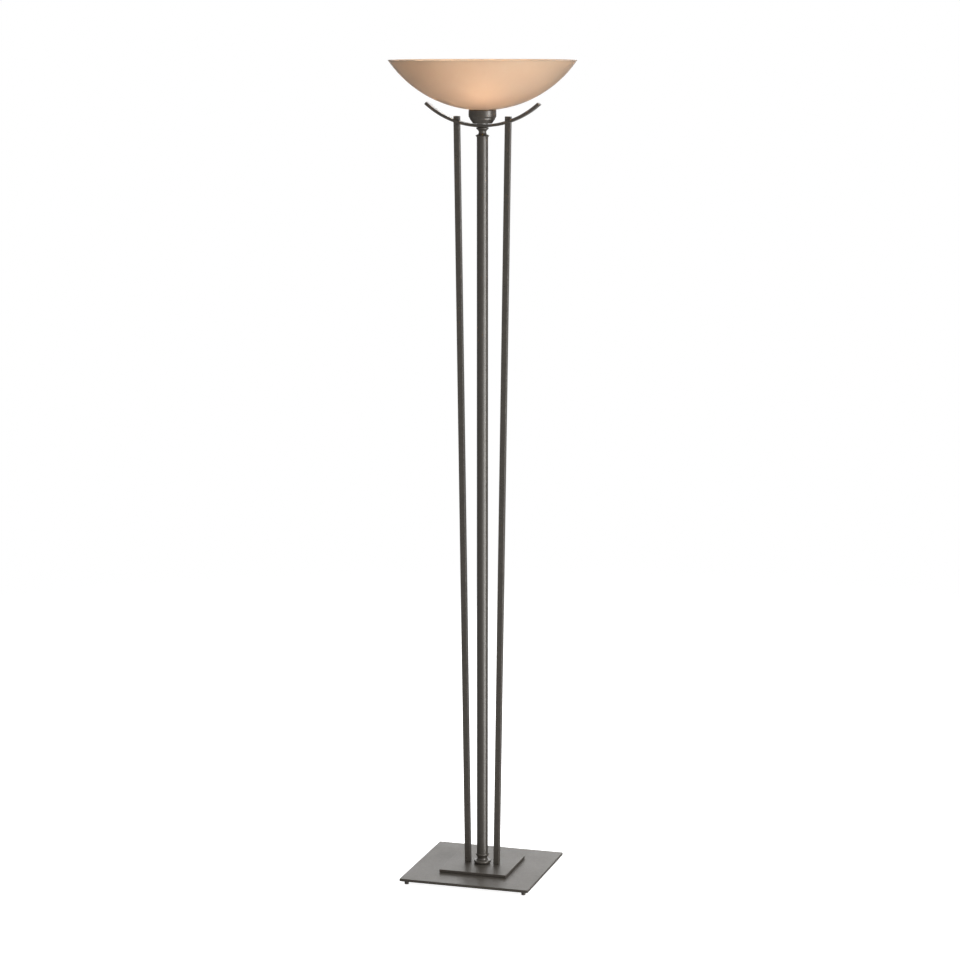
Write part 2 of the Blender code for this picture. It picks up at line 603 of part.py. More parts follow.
def bowl_and_clamp():
    """The glass bowl is held between two gaskets by a ring on the lampholder's thread."""
    hole = HOLDER_RADIUS + FIT
    lower = ring("lower_gasket", hole, HOLDER_RADIUS + HOLDER_FLANGE, GASKET_THICK)
    paint(place(lower, z=LOWER_GASKET_Z), BLACK_RUBBER)
    upper = ring("upper_gasket", hole, CLAMP_RADIUS, GASKET_THICK)
    paint(place(upper, z=UPPER_GASKET_Z), BLACK_RUBBER)
    clamp_profile = [(hole, RING_HEIGHT), (CLAMP_RADIUS - 0.002, RING_HEIGHT),
                     (CLAMP_RADIUS, RING_HEIGHT - 0.002), (CLAMP_RADIUS, 0), (hole, 0)]
    paint(place(turned("clamp_ring", clamp_profile), z=RING_Z), BLACK_PLASTIC)

    below_centre = BOWL_RADIUS - BOWL_DEPTH
    inner_radius = BOWL_RADIUS - BOWL_WALL
    outer_hole = math.asin(BOWL_HOLE_RADIUS / BOWL_RADIUS)
    inner_hole = math.asin(BOWL_HOLE_RADIUS / inner_radius)
    profile = round_stretch(0, BOWL_CENTRE_Z, BOWL_RADIUS,
                            math.degrees(math.asin(-below_centre / BOWL_RADIUS)),
                            math.degrees(outer_hole) - 90, BOWL_STEPS)
    profile += round_stretch(0, BOWL_CENTRE_Z, inner_radius, math.degrees(inner_hole) - 90,
                             math.degrees(math.asin(-below_centre / inner_radius)), BOWL_STEPS)
    paint(place(turned("glass_bowl", profile, STEPS_BOWL)), AMBER_GLASS)


def bulb():
    """A round-topped bulb that screws up out of its shell: all its pieces hang on the
    point of its axis where its tip meets the contact."""
    axis = place(bpy.data.objects.new("bulb_axis", None), z=BULB_Z)
    tip = turned("bulb_tip", [(0, BULB_TIP_HEIGHT), (BULB_TIP_RADIUS, BULB_TIP_HEIGHT),
                              (BULB_TIP_RADIUS / 2, 0), (0, 0)], STEPS_SMALL, hollow=False)
    paint(place(tip, parent=axis), ALUMINIUM)

    insulator_z = BULB_TIP_HEIGHT + FIT
    insulator_radius = BULB_CAP_RADIUS - 0.0035
    profile = [(0, BULB_INSULATOR_HEIGHT), (insulator_radius, BULB_INSULATOR_HEIGHT),
               (BULB_TIP_RADIUS, 0), (0, 0)]
    insulator = turned("bulb_insulator", profile, STEPS_MEDIUM, hollow=False)
    paint(place(insulator, z=insulator_z, parent=axis), BLACK_PLASTIC)

    cap_z = insulator_z + BULB_INSULATOR_HEIGHT + FIT
    inside = BULB_CAP_RADIUS - BULB_CAP_WALL
    profile = [(inside, BULB_CAP_HEIGHT), (BULB_CAP_RADIUS, BULB_CAP_HEIGHT),
               (BULB_CAP_RADIUS, 0.002), (insulator_radius, 0),
               (insulator_radius - 0.001, BULB_CAP_WALL), (inside, 0.002 + BULB_CAP_WALL)]
    paint(place(turned("bulb_cap", profile), z=cap_z, parent=axis), ALUMINIUM)

    globe_z = cap_z + BULB_CAP_HEIGHT / 2
    height = BULB_LENGTH - globe_z
    neck_top = BULB_CAP_HEIGHT / 2 + 0.003
    outer = globe_wall(BULB_RADIUS, BULB_NECK_RADIUS, height - BULB_RADIUS, neck_top)
    inner = globe_wall(BULB_RADIUS - BULB_GLASS, BULB_NECK_RADIUS - BULB_GLASS,
                       height - BULB_RADIUS, neck_top)
    globe = turned("bulb_globe", outer + inner[::-1], STEPS_MEDIUM, hollow=False)
    paint(place(globe, z=globe_z, parent=axis), FROSTED_GLASS)


def globe_wall(radius, neck_radius, centre_height, neck_top):
    """One face of the bulb's glass, from its top down to the open end of its neck."""
    wall = round_stretch(0, centre_height, radius, 90, -35, 8)
    wall[0] = (0, wall[0][1])
    last_radius, last_height = wall[-1]
    bend_height = last_height - (last_radius - neck_radius) * math.tan(math.radians(55))
    wall += curved_stretch((last_radius, last_height), (neck_radius, bend_height),
                           (neck_radius, neck_top), 3)[1:]
    return wall + [(neck_radius, 0)]


empty_scene()
parts = new_collection(OBJECT_NAME)
cutters = new_collection("cutters")
base_plate()
plinth_plate()
levelling_glides()
foot_fitting()
column_tube()
top_fitting()
threaded_pipe()
pipe_end()
side_bars()
bent_bar()
socket_cup()
lampholder()
bowl_and_clamp()
bulb()
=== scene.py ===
import json
import math

import bmesh
import bpy
from mathutils import Matrix, Vector

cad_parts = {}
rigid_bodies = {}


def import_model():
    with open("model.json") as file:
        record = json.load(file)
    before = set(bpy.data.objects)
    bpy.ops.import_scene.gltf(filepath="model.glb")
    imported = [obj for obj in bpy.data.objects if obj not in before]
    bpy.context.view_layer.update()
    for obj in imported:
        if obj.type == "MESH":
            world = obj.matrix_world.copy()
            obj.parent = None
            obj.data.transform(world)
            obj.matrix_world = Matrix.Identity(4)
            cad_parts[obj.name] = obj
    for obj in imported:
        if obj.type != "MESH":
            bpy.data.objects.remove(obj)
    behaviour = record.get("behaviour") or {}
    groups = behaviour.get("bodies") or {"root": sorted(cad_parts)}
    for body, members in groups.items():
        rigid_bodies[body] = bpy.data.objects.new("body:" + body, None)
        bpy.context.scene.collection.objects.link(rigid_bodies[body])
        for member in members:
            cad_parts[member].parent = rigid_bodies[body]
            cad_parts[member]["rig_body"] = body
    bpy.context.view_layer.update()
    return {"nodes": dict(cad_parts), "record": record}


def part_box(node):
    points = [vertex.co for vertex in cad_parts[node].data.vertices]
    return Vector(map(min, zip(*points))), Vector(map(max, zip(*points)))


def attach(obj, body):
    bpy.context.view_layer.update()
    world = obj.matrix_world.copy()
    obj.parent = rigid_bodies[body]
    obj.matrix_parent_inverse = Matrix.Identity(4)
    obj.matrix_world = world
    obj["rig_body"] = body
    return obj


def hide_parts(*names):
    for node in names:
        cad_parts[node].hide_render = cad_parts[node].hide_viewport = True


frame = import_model()
mm = 0.001
fullTurn = 2 * math.pi
slotOf = {row["node"]: row["material_slot"] for row in frame["record"]["subparts"]}
bodyOf = {node: piece["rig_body"] for node, piece in frame["nodes"].items()}
cornerNames = ("front_left", "front_right", "rear_left", "rear_right")
sideNames = (("left", -1), ("right", 1))
print("frame loaded:", len(frame["nodes"]), "nodes")

class Wire:
    # A socket that takes part in sums: every operator adds a Math node to its tree.
    def __init__(self, bench, socket):
        self.bench, self.socket = bench, socket

    def sum(self, operation, *values):
        return self.bench.add("ShaderNodeMath", {"operation": operation}, dict(enumerate(values)))

    def __getitem__(self, name):  # another output of the same node
        return Wire(self.bench, Bench.find(self.socket.node.outputs, name))

def overload(sign, operation):  # the operator and its reflected form
    setattr(Wire, f"__{sign}__", lambda self, other: self.sum(operation, self, other))
    setattr(Wire, f"__r{sign}__", lambda self, other: self.sum(operation, other, self))

for sign, operation in (("add", "ADD"), ("sub", "SUBTRACT"), ("mul", "MULTIPLY"),
                        ("truediv", "DIVIDE"), ("pow", "POWER")):
    overload(sign, operation)

class Bench:
    # Adds nodes to one tree.
    def __init__(self, tree):
        self.tree = tree

    @staticmethod
    def find(sockets, key):
        if isinstance(key, int):
            return sockets[key]
        fitting = [s for s in sockets if s.identifier == key]
        return (fitting or [s for s in sockets if s.name == key and s.enabled])[0]

    def add(self, kind, settings=None, values=None):
        node = self.tree.nodes.new(kind)
        for name, value in (settings or {}).items():
            if name == "stops":
                self.setStops(node.color_ramp, value)
            else:
                setattr(node, name, value)
        for key, value in (values or {}).items():
            socket = self.find(node.inputs, key)
            if isinstance(value, Wire):
                self.tree.links.new(value.socket, socket)
            else:
                socket.default_value = value
        shown = [s for s in node.outputs if s.enabled]
        return Wire(self, shown[0]) if shown else None

    def setStops(self, ramp, stops):
        while len(ramp.elements) < len(stops):
            ramp.elements.new(1)
        for element, (place, tone) in zip(ramp.elements, stops):
            element.position = place
            element.color = (tone, tone, tone, 1)

    def mix(self, share, first, second):  # from the first colour to the second
        values = {"Factor_Float": share, "A_Color": first, "B_Color": second}
        return self.add("ShaderNodeMix", {"data_type": "RGBA"}, values)["Result_Color"]

    def noise(self, place, scale, detail=3, roughness=0.55, distortion=0.0):
        values = {"Vector": place, "Scale": scale, "Detail": detail, "Roughness": roughness,
                  "Distortion": distortion}
        return self.add("ShaderNodeTexNoise", None, values)

    def ramp(self, value, stops):
        return self.add("ShaderNodeValToRGB", {"stops": stops}, {"Fac": value})

    def principled(self, values):
        return self.add("ShaderNodeBsdfPrincipled", None, values)

    def bump(self, height, depth, strength=1.0):
        return self.add("ShaderNodeBump", None, {"Height": height, "Distance": depth,
                                                 "Strength": strength})

def shade(colour):
    return (*colour, 1)

def newFinish(name):
    made = bpy.data.materials.new(name)
    made.use_nodes = True
    made.node_tree.nodes.clear()
    bench = Bench(made.node_tree)
    return made, bench, bench.add("ShaderNodeTexCoord")["Object"]

def closeFinish(bench, surface):
    bench.add("ShaderNodeOutputMaterial", None, {"Surface": surface})

def bronzePaint(name, look):
    # Dark warm paint with fine flakes in it, a little unevenly sprayed and rubbed at the edges.
    made, bench, place = newFinish(name)
    cloud = bench.noise(place, look["cloudScale"], 4, 0.6)
    grain = bench.noise(place, look["grainScale"], 3, 0.6)
    flake = bench.add("ShaderNodeTexVoronoi", None, {"Vector": place, "Scale": look["flakeScale"]})
    sparkle = bench.add("ShaderNodeSeparateColor", None, {"Color": flake["Color"]})["Red"]
    rubbed = bench.add("ShaderNodeAttribute", {"attribute_name": "edgeWear"})["Fac"]
    patchy = bench.ramp(bench.noise(place, look["rubScale"], 3, 0.65), [(0.35, 0), (0.7, 1)])
    wear = rubbed * patchy * look["rubShare"]
    tone = cloud * 0.15 + grain * 0.55 + sparkle * 0.3
    tone = bench.ramp(tone, [(0.28, 0), (0.74, 1)])
    colour = bench.mix(tone, shade(look["dark"]), shade(look["light"]))
    colour = bench.mix(wear, colour, shade(look["rubbed"]))
    roughness = look["roughness"] + (cloud - 0.5) * 0.16 + (sparkle - 0.5) * 0.1 - wear * 0.1
    metallic = look["metallic"] + sparkle * 0.1 + wear * 0.3
    height = grain * 0.7 + sparkle * 0.3
    closeFinish(bench, bench.principled({
        "Base Color": colour, "Roughness": roughness, "Metallic": metallic,
        "Normal": bench.bump(height, look["grainDepth"], look["grainStrength"]),
        "Specular IOR Level": look["specular"]}))
    return made

def plainMetal(name, look):
    # Steel, brass and aluminium: drawn or turned metal with fine lines and a few dull blotches.
    made, bench, place = newFinish(name)
    stretched = bench.add("ShaderNodeMapping", None, {"Vector": place, "Scale": look["stretch"]})
    lines = bench.noise(stretched, look["lineScale"], 4, 0.6)
    blotch = bench.ramp(bench.noise(place, look["blotchScale"], 4, 0.6), [(0.42, 0), (0.68, 1)])
    colour = bench.mix(blotch * 0.8, shade(look["colour"]), shade(look["dull"]))
    colour = bench.mix(lines * 0.3, colour, shade(look["dull"]))
    closeFinish(bench, bench.principled({
        "Base Color": colour, "Metallic": 1.0,
        "Roughness": look["roughness"] + blotch * 0.16 + (lines - 0.5) * 0.12,
        "Normal": bench.bump(lines, look["lineDepth"], 0.6)}))
    return made

def mouldedStuff(name, look):
    # Plastic, rubber, porcelain and black glass: a fine skin with dust in it and uneven gloss.
    made, bench, place = newFinish(name)
    skin = bench.noise(place, look["skinScale"], 3, 0.6)
    flow = bench.noise(place, look["flowScale"], 4, 0.6, 0.8)
    dust = bench.ramp(bench.noise(place, look["skinScale"] * 0.4, 5, 0.7), [(0.6, 0), (0.75, 1)])
    colour = bench.mix(flow, shade(look["colour"]), shade(look["second"]))
    colour = bench.mix(dust * look["dust"], colour, shade(look["dustColour"]))
    closeFinish(bench, bench.principled({
        "Base Color": colour, "Roughness": look["roughness"] + (flow - 0.5) * 0.2 + dust * 0.1,
        "Normal": bench.bump(skin, look["skinDepth"], 0.7),
        "Coat Weight": look["coat"], "Coat Roughness": 0.12}))
    return made

# centreAbove is from the rim to the centre of the bowl's sphere, and midWall is the radius halfway
# through its glass.
# edgeLoss is what edge-on glass doesn't let through, and the edge-on colour is painted shade,
# darkening the bowl towards its outline.
amberLook = {
    "pale": (0.82, 0.645, 0.48), "deep": (0.77, 0.58, 0.415), "veil": (0.84, 0.73, 0.61),
    "inner": (0.815, 0.645, 0.50), "edgeOn": (0.21, 0.15, 0.105), "edgeLoss": 0.7,
    "cloudScale": 9.0, "wispScale": 26.0, "seedScale": 420.0, "waveDepth": 0.0004,
    "centreAbove": 0.1431, "midWall": 0.251,
    "roughness": 0.34, "through": 0.38, "throughInside": 0.62}

def amberGlass(name, look):
    # Art glass, satin outside: warm amber with milky clouds, its colour darkened by painted shade
    # where it is seen edge-on.
    # Light comes through it, and more of it through the inner face than the outer one, less where
    # it is seen edge-on.
    made, bench, place = newFinish(name)
    cloud = bench.noise(place, look["cloudScale"], 5, 0.58, 0.9)
    wisp = bench.noise(place, look["wispScale"], 4, 0.6, 1.6)
    seeds = bench.ramp(bench.noise(place, look["seedScale"], 2, 0.5), [(0.66, 0), (0.76, 1)])
    milk = bench.ramp(cloud * 0.7 + wisp * 0.3, [(0.34, 0), (0.66, 1)])
    colour = bench.mix(milk, shade(look["deep"]), shade(look["pale"]))
    colour = bench.mix(bench.ramp(wisp, [(0.55, 0), (0.8, 1)]) * 0.25, colour, shade(look["veil"]))
    colour = bench.mix(seeds * 0.12, colour, shade(look["deep"]))
    edgeOn = bench.add("ShaderNodeLayerWeight", None, {"Blend": 0.5})["Facing"]
    colour = bench.mix(edgeOn, colour, shade(look["edgeOn"]))  # painted shade, darker the more edge-on the bowl is seen
    wave = bench.bump(cloud + wisp * 0.25 + seeds * 0.02, look["waveDepth"], 0.35)
    face = bench.principled({
        "Base Color": colour, "Roughness": look["roughness"] + (wisp - 0.5) * 0.14,
        "Normal": wave, "Specular IOR Level": 0.5})
    glow = bench.add("ShaderNodeBsdfTranslucent", None, {
        "Color": shade(look["inner"]), "Normal": wave})
    centre = (0, 0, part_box("glass_bowl")[1].z + look["centreAbove"])
    reach = bench.add("ShaderNodeVectorMath", {"operation": "DISTANCE"}, {0: place, 1: centre})
    outside = reach.sum("GREATER_THAN", reach["Value"], look["midWall"])
    share = look["throughInside"] + outside * (look["through"] - look["throughInside"])
    # painted shade too: less glow passes where the bowl is seen edge-on, darkening its outline
    share = share * (1 - edgeOn * look["edgeLoss"])
    closeFinish(bench, bench.add("ShaderNodeMixShader", None, {0: share, 1: face, 2: glow}))
    return made

bulbGlassLook = {
    "glass": (0.93, 0.91, 0.86), "shadow": (0.84, 0.8, 0.74), "glow": (1.0, 0.90, 0.76),
    "dim": (0.92, 0.79, 0.63), "power": 1.1, "etchScale": 1400, "cloudScale": 60}

def frostedGlass(name, look):
    # Etched white glass of a bulb that is switched on.
    made, bench, place = newFinish(name)
    etch = bench.noise(place, look["etchScale"], 3, 0.6)
    cloud = bench.ramp(bench.noise(place, look["cloudScale"], 3, 0.6), [(0.3, 0), (0.7, 1)])
    glow = bench.mix(cloud, shade(look["glow"]), shade(look["dim"]))
    closeFinish(bench, bench.principled({
        "Base Color": bench.mix(etch, shade(look["glass"]), shade(look["shadow"])),
        "Roughness": 0.38 + (etch - 0.5) * 0.2, "Normal": bench.bump(etch, 0.00002, 0.5),
        "Emission Color": glow, "Emission Strength": look["power"]}))
    return made

paintLook = {
    "dark": (0.058, 0.051, 0.0425), "light": (0.090, 0.080, 0.068), "rubbed": (0.17, 0.148, 0.12),
    "cloudScale": 16.0, "grainScale": 420.0, "flakeScale": 620.0, "rubScale": 90.0,
    "rubShare": 0.25, "roughness": 0.34, "metallic": 0.2, "specular": 0.9,
    "grainDepth": 0.00012, "grainStrength": 0.35}
plateLook = {**paintLook, "cloudScale": 9.0, "grainScale": 380.0, "rubShare": 0.15,
             "roughness": 0.42, "specular": 0.6, "grainStrength": 0.25}
steelLook = {"colour": (0.60, 0.60, 0.58), "dull": (0.40, 0.40, 0.38), "stretch": (1, 1, 6),
             "lineScale": 500, "blotchScale": 150, "roughness": 0.26, "lineDepth": 0.00003}
brassLook = {**steelLook, "colour": (0.76, 0.55, 0.24), "dull": (0.48, 0.32, 0.13)}
aluminiumLook = {**steelLook, "colour": (0.82, 0.82, 0.81), "dull": (0.62, 0.62, 0.61),
                 "stretch": (1, 1, 14), "roughness": 0.22}
plasticLook = {"colour": (0.022, 0.022, 0.023), "second": (0.034, 0.033, 0.032),
               "dustColour": (0.1, 0.095, 0.088), "dust": 0.25, "skinScale": 900, "flowScale": 60,
               "roughness": 0.42, "skinDepth": 0.00005, "coat": 0.15}
rubberLook = {**plasticLook, "colour": (0.018, 0.018, 0.018), "roughness": 0.75, "dust": 0.4,
              "skinScale": 1500, "skinDepth": 0.0001, "coat": 0.0}
porcelainLook = {**plasticLook, "colour": (0.84, 0.82, 0.77), "second": (0.74, 0.71, 0.65),
                 "dustColour": (0.5, 0.46, 0.4), "roughness": 0.35, "coat": 0.4}
insulationLook = {**plasticLook, "colour": (0.012, 0.011, 0.014), "second": (0.03, 0.024, 0.03),
                  "roughness": 0.18, "skinDepth": 0.00002, "coat": 0.5}

finishes = {
    "plate_paint": bronzePaint("smokyBronzePlatePaint", plateLook),
    "column_paint": bronzePaint("smokyBronzePaint", paintLook),
    "steel": plainMetal("zincPlatedSteel", steelLook),
    "brass": plainMetal("stampedBrass", brassLook),
    "bulb_aluminium": plainMetal("spunAluminium", aluminiumLook),
    "black_plastic": mouldedStuff("blackMouldedPlastic", plasticLook),
    "gasket_rubber": mouldedStuff("blackGasketRubber", rubberLook),
    "porcelain": mouldedStuff("whitePorcelain", porcelainLook),
    "bulb_insulation": mouldedStuff("blackBulbInsulation", insulationLook),
    "amber_glass": amberGlass("satinAmberGlass", amberLook),
    "frosted_glass": frostedGlass("frostedBulbGlass", bulbGlassLook),
}
print("finishes made:", len(finishes))

def pieceName(node):
    words = node.split("_")
    return words[0] + "".join(word.capitalize() for word in words[1:])

def footOf(node):  # the middle of a node's lowest level
    low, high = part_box(node)
    return Vector(((low.x + high.x) / 2, (low.y + high.y) / 2, low.z))

def tallOf(node):  # a node's height in millimetres
    low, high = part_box(node)
    return (high.z - low.z) / mm

def bend(start, corner, end, count=9):
    # Rows of an outline, on a curve that leaves start and reaches end towards the corner.
    rows = []
    for step in range(count + 1):
        t = step / count
        rows.append((*((1 - t) ** 2 * s + 2 * t * (1 - t) * c + t * t * e
                       for s, c, e in zip(start, corner, end)), 0))
    return rows

def roundOff(before, here, after, radius, steps):
    # The arc that takes a corner's place, no longer than half of either side.
    inWay, outWay = before - here, after - here
    half = inWay.angle(outWay) / 2
    reach = min(radius / math.tan(half), inWay.length / 2, outWay.length / 2)
    radius = reach * math.tan(half)
    inWay.normalize()
    outWay.normalize()
    middle = here + (inWay + outWay).normalized() * (radius / math.sin(half))
    first, last = here + inWay * reach - middle, here + outWay * reach - middle
    sweep = first.angle(last)
    points = []
    for k in range(steps + 1):
        share = k / steps
        turned = first * math.sin((1 - share) * sweep) + last * math.sin(share * sweep)
        points.append(middle + turned / math.sin(sweep))
    return points

def softOutline(outline, closed, edge=0.3, steps=4):
    # Rounds an outline's corners. Gives (radius, height, wear) rows, wear being 1 on an edge.
    rows = []
    count = len(outline)
    for i, corner in enumerate(outline):
        here = Vector(corner[:2])
        radius = corner[2] if len(corner) > 2 else edge
        before = Vector(outline[i - 1][:2])
        after = Vector(outline[(i + 1) % count][:2])
        end = not closed and i in (0, count - 1)
        if end or radius == 0 or (before - here).angle(after - here) > 2.9:
            rows.append((here.x, here.y, 0.0))
        else:
            rows += [(p.x, p.y, 1.0) for p in roundOff(before, here, after, radius, steps)]
    return rows

def fillRows(rows, closed, reach=1.4, threads=()):
    # Adds rows beside the edges, so that wear fades out, and close ones where a thread comes.
    filled = []
    count = len(rows)
    for i in range(count if closed else count - 1):
        start, end = rows[i], rows[(i + 1) % count]
        filled.append(start)
        length = math.hypot(end[0] - start[0], end[1] - start[1])
        cuts = set()
        if length > 3 * reach:
            cuts |= {reach / length, 1 - reach / length}
        for low, high, gap in threads:
            if abs(end[0] - start[0]) < 0.01 and length > gap:
                steps = math.ceil((high - low) / gap)
                for k in range(steps + 1):
                    t = (low + (high - low) * k / steps - start[1]) / (end[1] - start[1])
                    if 0.0001 < t < 0.9999:
                        cuts.add(t)
        for t in sorted(cuts):
            filled.append((start[0] + (end[0] - start[0]) * t,
                           start[1] + (end[1] - start[1]) * t, 0.0))
    if not closed:
        filled.append(rows[-1])
    return filled

def spin(name, rows, closed, steps=96, foot=Vector((0, 0, 0))):
    # Turns rows, in millimetres above a foot, into a closed mesh about an upright axis.
    verts, wear, rings, faces = [], [], [], []
    lastSpot = None
    for radius, height, worn in rows:
        if lastSpot and math.dist(lastSpot, (radius, height)) < 0.001:
            continue
        lastSpot = (radius, height)
        around = 1 if radius < 0.001 else steps
        rings.append(list(range(len(verts), len(verts) + around)))
        for k in range(around):
            angle = fullTurn * k / steps
            verts.append((foot.x + radius * mm * math.cos(angle),
                          foot.y + radius * mm * math.sin(angle), foot.z + height * mm))
            wear.append(worn)
    if closed and math.dist(rows[0][:2], lastSpot) < 0.001:
        rings[-1] = rings[0]
    pairs = list(zip(rings, rings[1:])) + ([(rings[-1], rings[0])] if closed else [])
    for one, two in pairs:
        if one is two:
            continue
        for k in range(steps):
            n = (k + 1) % steps
            loop = [one[k % len(one)], one[n % len(one)], two[n % len(two)], two[k % len(two)]]
            loop = list(dict.fromkeys(loop))
            if len(loop) > 2:
                faces.append(loop)
    mesh = bpy.data.meshes.new(name)
    mesh.from_pydata(verts, [], faces)
    mesh.attributes.new("edgeWear", "FLOAT", "POINT").data.foreach_set("value", wear)
    shape = bmesh.new()
    shape.from_mesh(mesh)
    loose = [v for v in shape.verts if not v.link_faces]
    bmesh.ops.delete(shape, geom=loose, context="VERTS")
    bmesh.ops.recalc_face_normals(shape, faces=shape.faces)
    shape.to_mesh(mesh)
    shape.free()
    return newPiece(name, mesh)

def newPiece(name, mesh):
    piece = bpy.data.objects.new(name, mesh)
    bpy.context.scene.collection.objects.link(piece)
    return piece

def makePlain(piece):
    # The evaluated result becomes the piece's own plain mesh.
    graph = bpy.context.evaluated_depsgraph_get()
    made = bpy.data.meshes.new_from_object(piece.evaluated_get(graph))
    made.name = piece.name
    piece.modifiers.clear()
    old, piece.data = piece.data, made
    bpy.data.meshes.remove(old)

def drill(piece, tool, operation="DIFFERENCE"):
    hole = piece.modifiers.new("hole", "BOOLEAN")
    hole.operation = operation
    hole.solver = "EXACT"
    hole.object = tool
    makePlain(piece)
    bpy.data.objects.remove(tool)

def throughTree(piece, tree, values):
    work = piece.modifiers.new("work", "NODES")
    work.node_group = tree
    for item in tree.interface.items_tree:
        if item.in_out == "INPUT" and item.name in values:
            work[item.identifier] = values[item.name]
    makePlain(piece)

def settle(piece, node, sharpAngle=33, flat=False):
    # Shades a piece, gives it its node's finish and lets it stand for the node.
    piece.data.shade_smooth()
    if flat:  # faces keep their own direction, and only the narrow rounded edges blend
        weigh = piece.modifiers.new("weigh", "WEIGHTED_NORMAL")
        weigh.keep_sharp = False
        weigh.weight = 100
        makePlain(piece)
    else:
        piece.data.set_sharp_from_angle(angle=math.radians(sharpAngle))
    piece.data.materials.clear()
    piece.data.materials.append(finishes[slotOf[node]])
    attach(piece, bodyOf[node])
    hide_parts(node)
    slotOf[node]

def turnedPiece(node, outline, closed=True, steps=96, edge=0.3, threads=(), reach=1.4):
    rows = fillRows(softOutline(outline, closed, edge), closed, reach, threads)
    return spin(pieceName(node), rows, closed, steps, footOf(node))

def turn(node, outline, sharpAngle=33, **ways):
    settle(turnedPiece(node, outline, **ways), node, sharpAngle)

def softBlock(name, size, foot, edge, lean=0.0, reach=0.0014, steps=3):
    # A block with rounded edges and a ring of faces inside each side, where its wear fades.
    mesh = bpy.data.meshes.new(name)
    shape = bmesh.new()
    bmesh.ops.create_cube(shape, size=1)
    bmesh.ops.scale(shape, verts=shape.verts, vec=size)
    bmesh.ops.bevel(shape, geom=shape.edges[:], offset=edge, segments=steps, profile=0.5,
                    affect="EDGES")
    sides = [face for face in shape.faces if max(map(abs, face.normal)) > 0.999]
    if reach:
        bmesh.ops.inset_individual(shape, faces=sides, thickness=reach)
    flat = {v for face in sides for v in face.verts}
    layer = shape.verts.layers.float.new("edgeWear")
    for v in shape.verts:
        v[layer] = 0.0 if v in flat else 1.0
        v.co.z += size[2] / 2
        v.co.x += lean * v.co.z
        v.co += foot
    shape.to_mesh(mesh)
    shape.free()
    return newPiece(name, mesh)

def newTree(name, sizes):
    # A tree with a geometry socket, a named input for each size and one for the finish.
    tree = bpy.data.node_groups.new(name, "GeometryNodeTree")
    tree.interface.new_socket("Geometry", in_out="OUTPUT", socket_type="NodeSocketGeometry")
    tree.interface.new_socket("Geometry", in_out="INPUT", socket_type="NodeSocketGeometry")
    for label, kind in sizes.items():
        tree.interface.new_socket(label, in_out="INPUT", socket_type="NodeSocket" + kind)
    tree.interface.new_socket("Finish", in_out="INPUT", socket_type="NodeSocketMaterial")
    bench = Bench(tree)
    return tree, bench, bench.add("NodeGroupInput")

def closeTree(bench, given, geometry):
    real = bench.add("GeometryNodeRealizeInstances", None, {"Geometry": geometry})
    painted = bench.add("GeometryNodeSetMaterial", None, {
        "Geometry": real, "Material": given["Finish"]})
    bench.add("NodeGroupOutput", None, {"Geometry": painted})

def makeThreadTree():
    # Presses a screw thread into whatever part of a turned piece lies in a band of heights.
    tree, bench, given = newTree("rolledThread", {
        "Pitch": "Float", "Depth": "Float", "Low end": "Float", "High end": "Float",
        "Least radius": "Float", "Centre": "Vector"})
    spot = bench.add("ShaderNodeVectorMath", {"operation": "SUBTRACT"}, {
        0: bench.add("GeometryNodeInputPosition"), 1: given["Centre"]})
    parts = bench.add("ShaderNodeSeparateXYZ", None, {"Vector": spot})
    x, y, z = parts["X"], parts["Y"], parts["Z"]
    radius = (x * x + y * y) ** 0.5
    phase = z / given["Pitch"] - x.sum("ARCTAN2", y, x) / fullTurn
    groove = 0.5 + x.sum("COSINE", phase * fullTurn) * 0.5

    def runOut(distance):  # the groove fades within two thirds of a turn of its end
        return x.sum("MINIMUM", 1.0, x.sum("MAXIMUM", 0.0, distance / given["Pitch"] * 1.5))

    outside = x.sum("GREATER_THAN", radius, given["Least radius"])
    change = groove * given["Depth"] * runOut(z - given["Low end"])
    change = change * runOut(given["High end"] - z) * outside
    share = (radius - change) / x.sum("MAXIMUM", radius, 0.000001)
    moved = bench.add("ShaderNodeCombineXYZ", None, {"X": x * share, "Y": y * share, "Z": z})
    moved = bench.add("ShaderNodeVectorMath", {"operation": "ADD"}, {0: moved, 1: given["Centre"]})
    shaped = bench.add("GeometryNodeSetPosition", None, {"Geometry": given["Geometry"],
                                                         "Position": moved})
    closeTree(bench, given, shaped)
    return tree

def makeRibTree():
    # Stands round ribs on a circle about a turned piece, for a grip.
    tree, bench, given = newTree("gripRibs", {
        "Count": "Int", "Radius": "Float", "Rib radius": "Float", "Height": "Float",
        "Centre": "Vector"})
    circle = bench.add("GeometryNodeMeshCircle", None, {"Vertices": given["Count"],
                                                        "Radius": given["Radius"]})
    rib = bench.add("GeometryNodeMeshCylinder", None, {
        "Vertices": 8, "Radius": given["Rib radius"], "Depth": given["Height"]})["Mesh"]
    ribs = bench.add("GeometryNodeInstanceOnPoints", None, {"Points": circle, "Instance": rib})
    ribs = bench.add("GeometryNodeTransform", None, {
        "Geometry": ribs, "Translation": given["Centre"]})
    joined = bench.add("GeometryNodeJoinGeometry", None, {"Geometry": given["Geometry"]})
    bench.tree.links.new(ribs.socket, joined.socket.node.inputs["Geometry"])
    closeTree(bench, given, joined)
    return tree

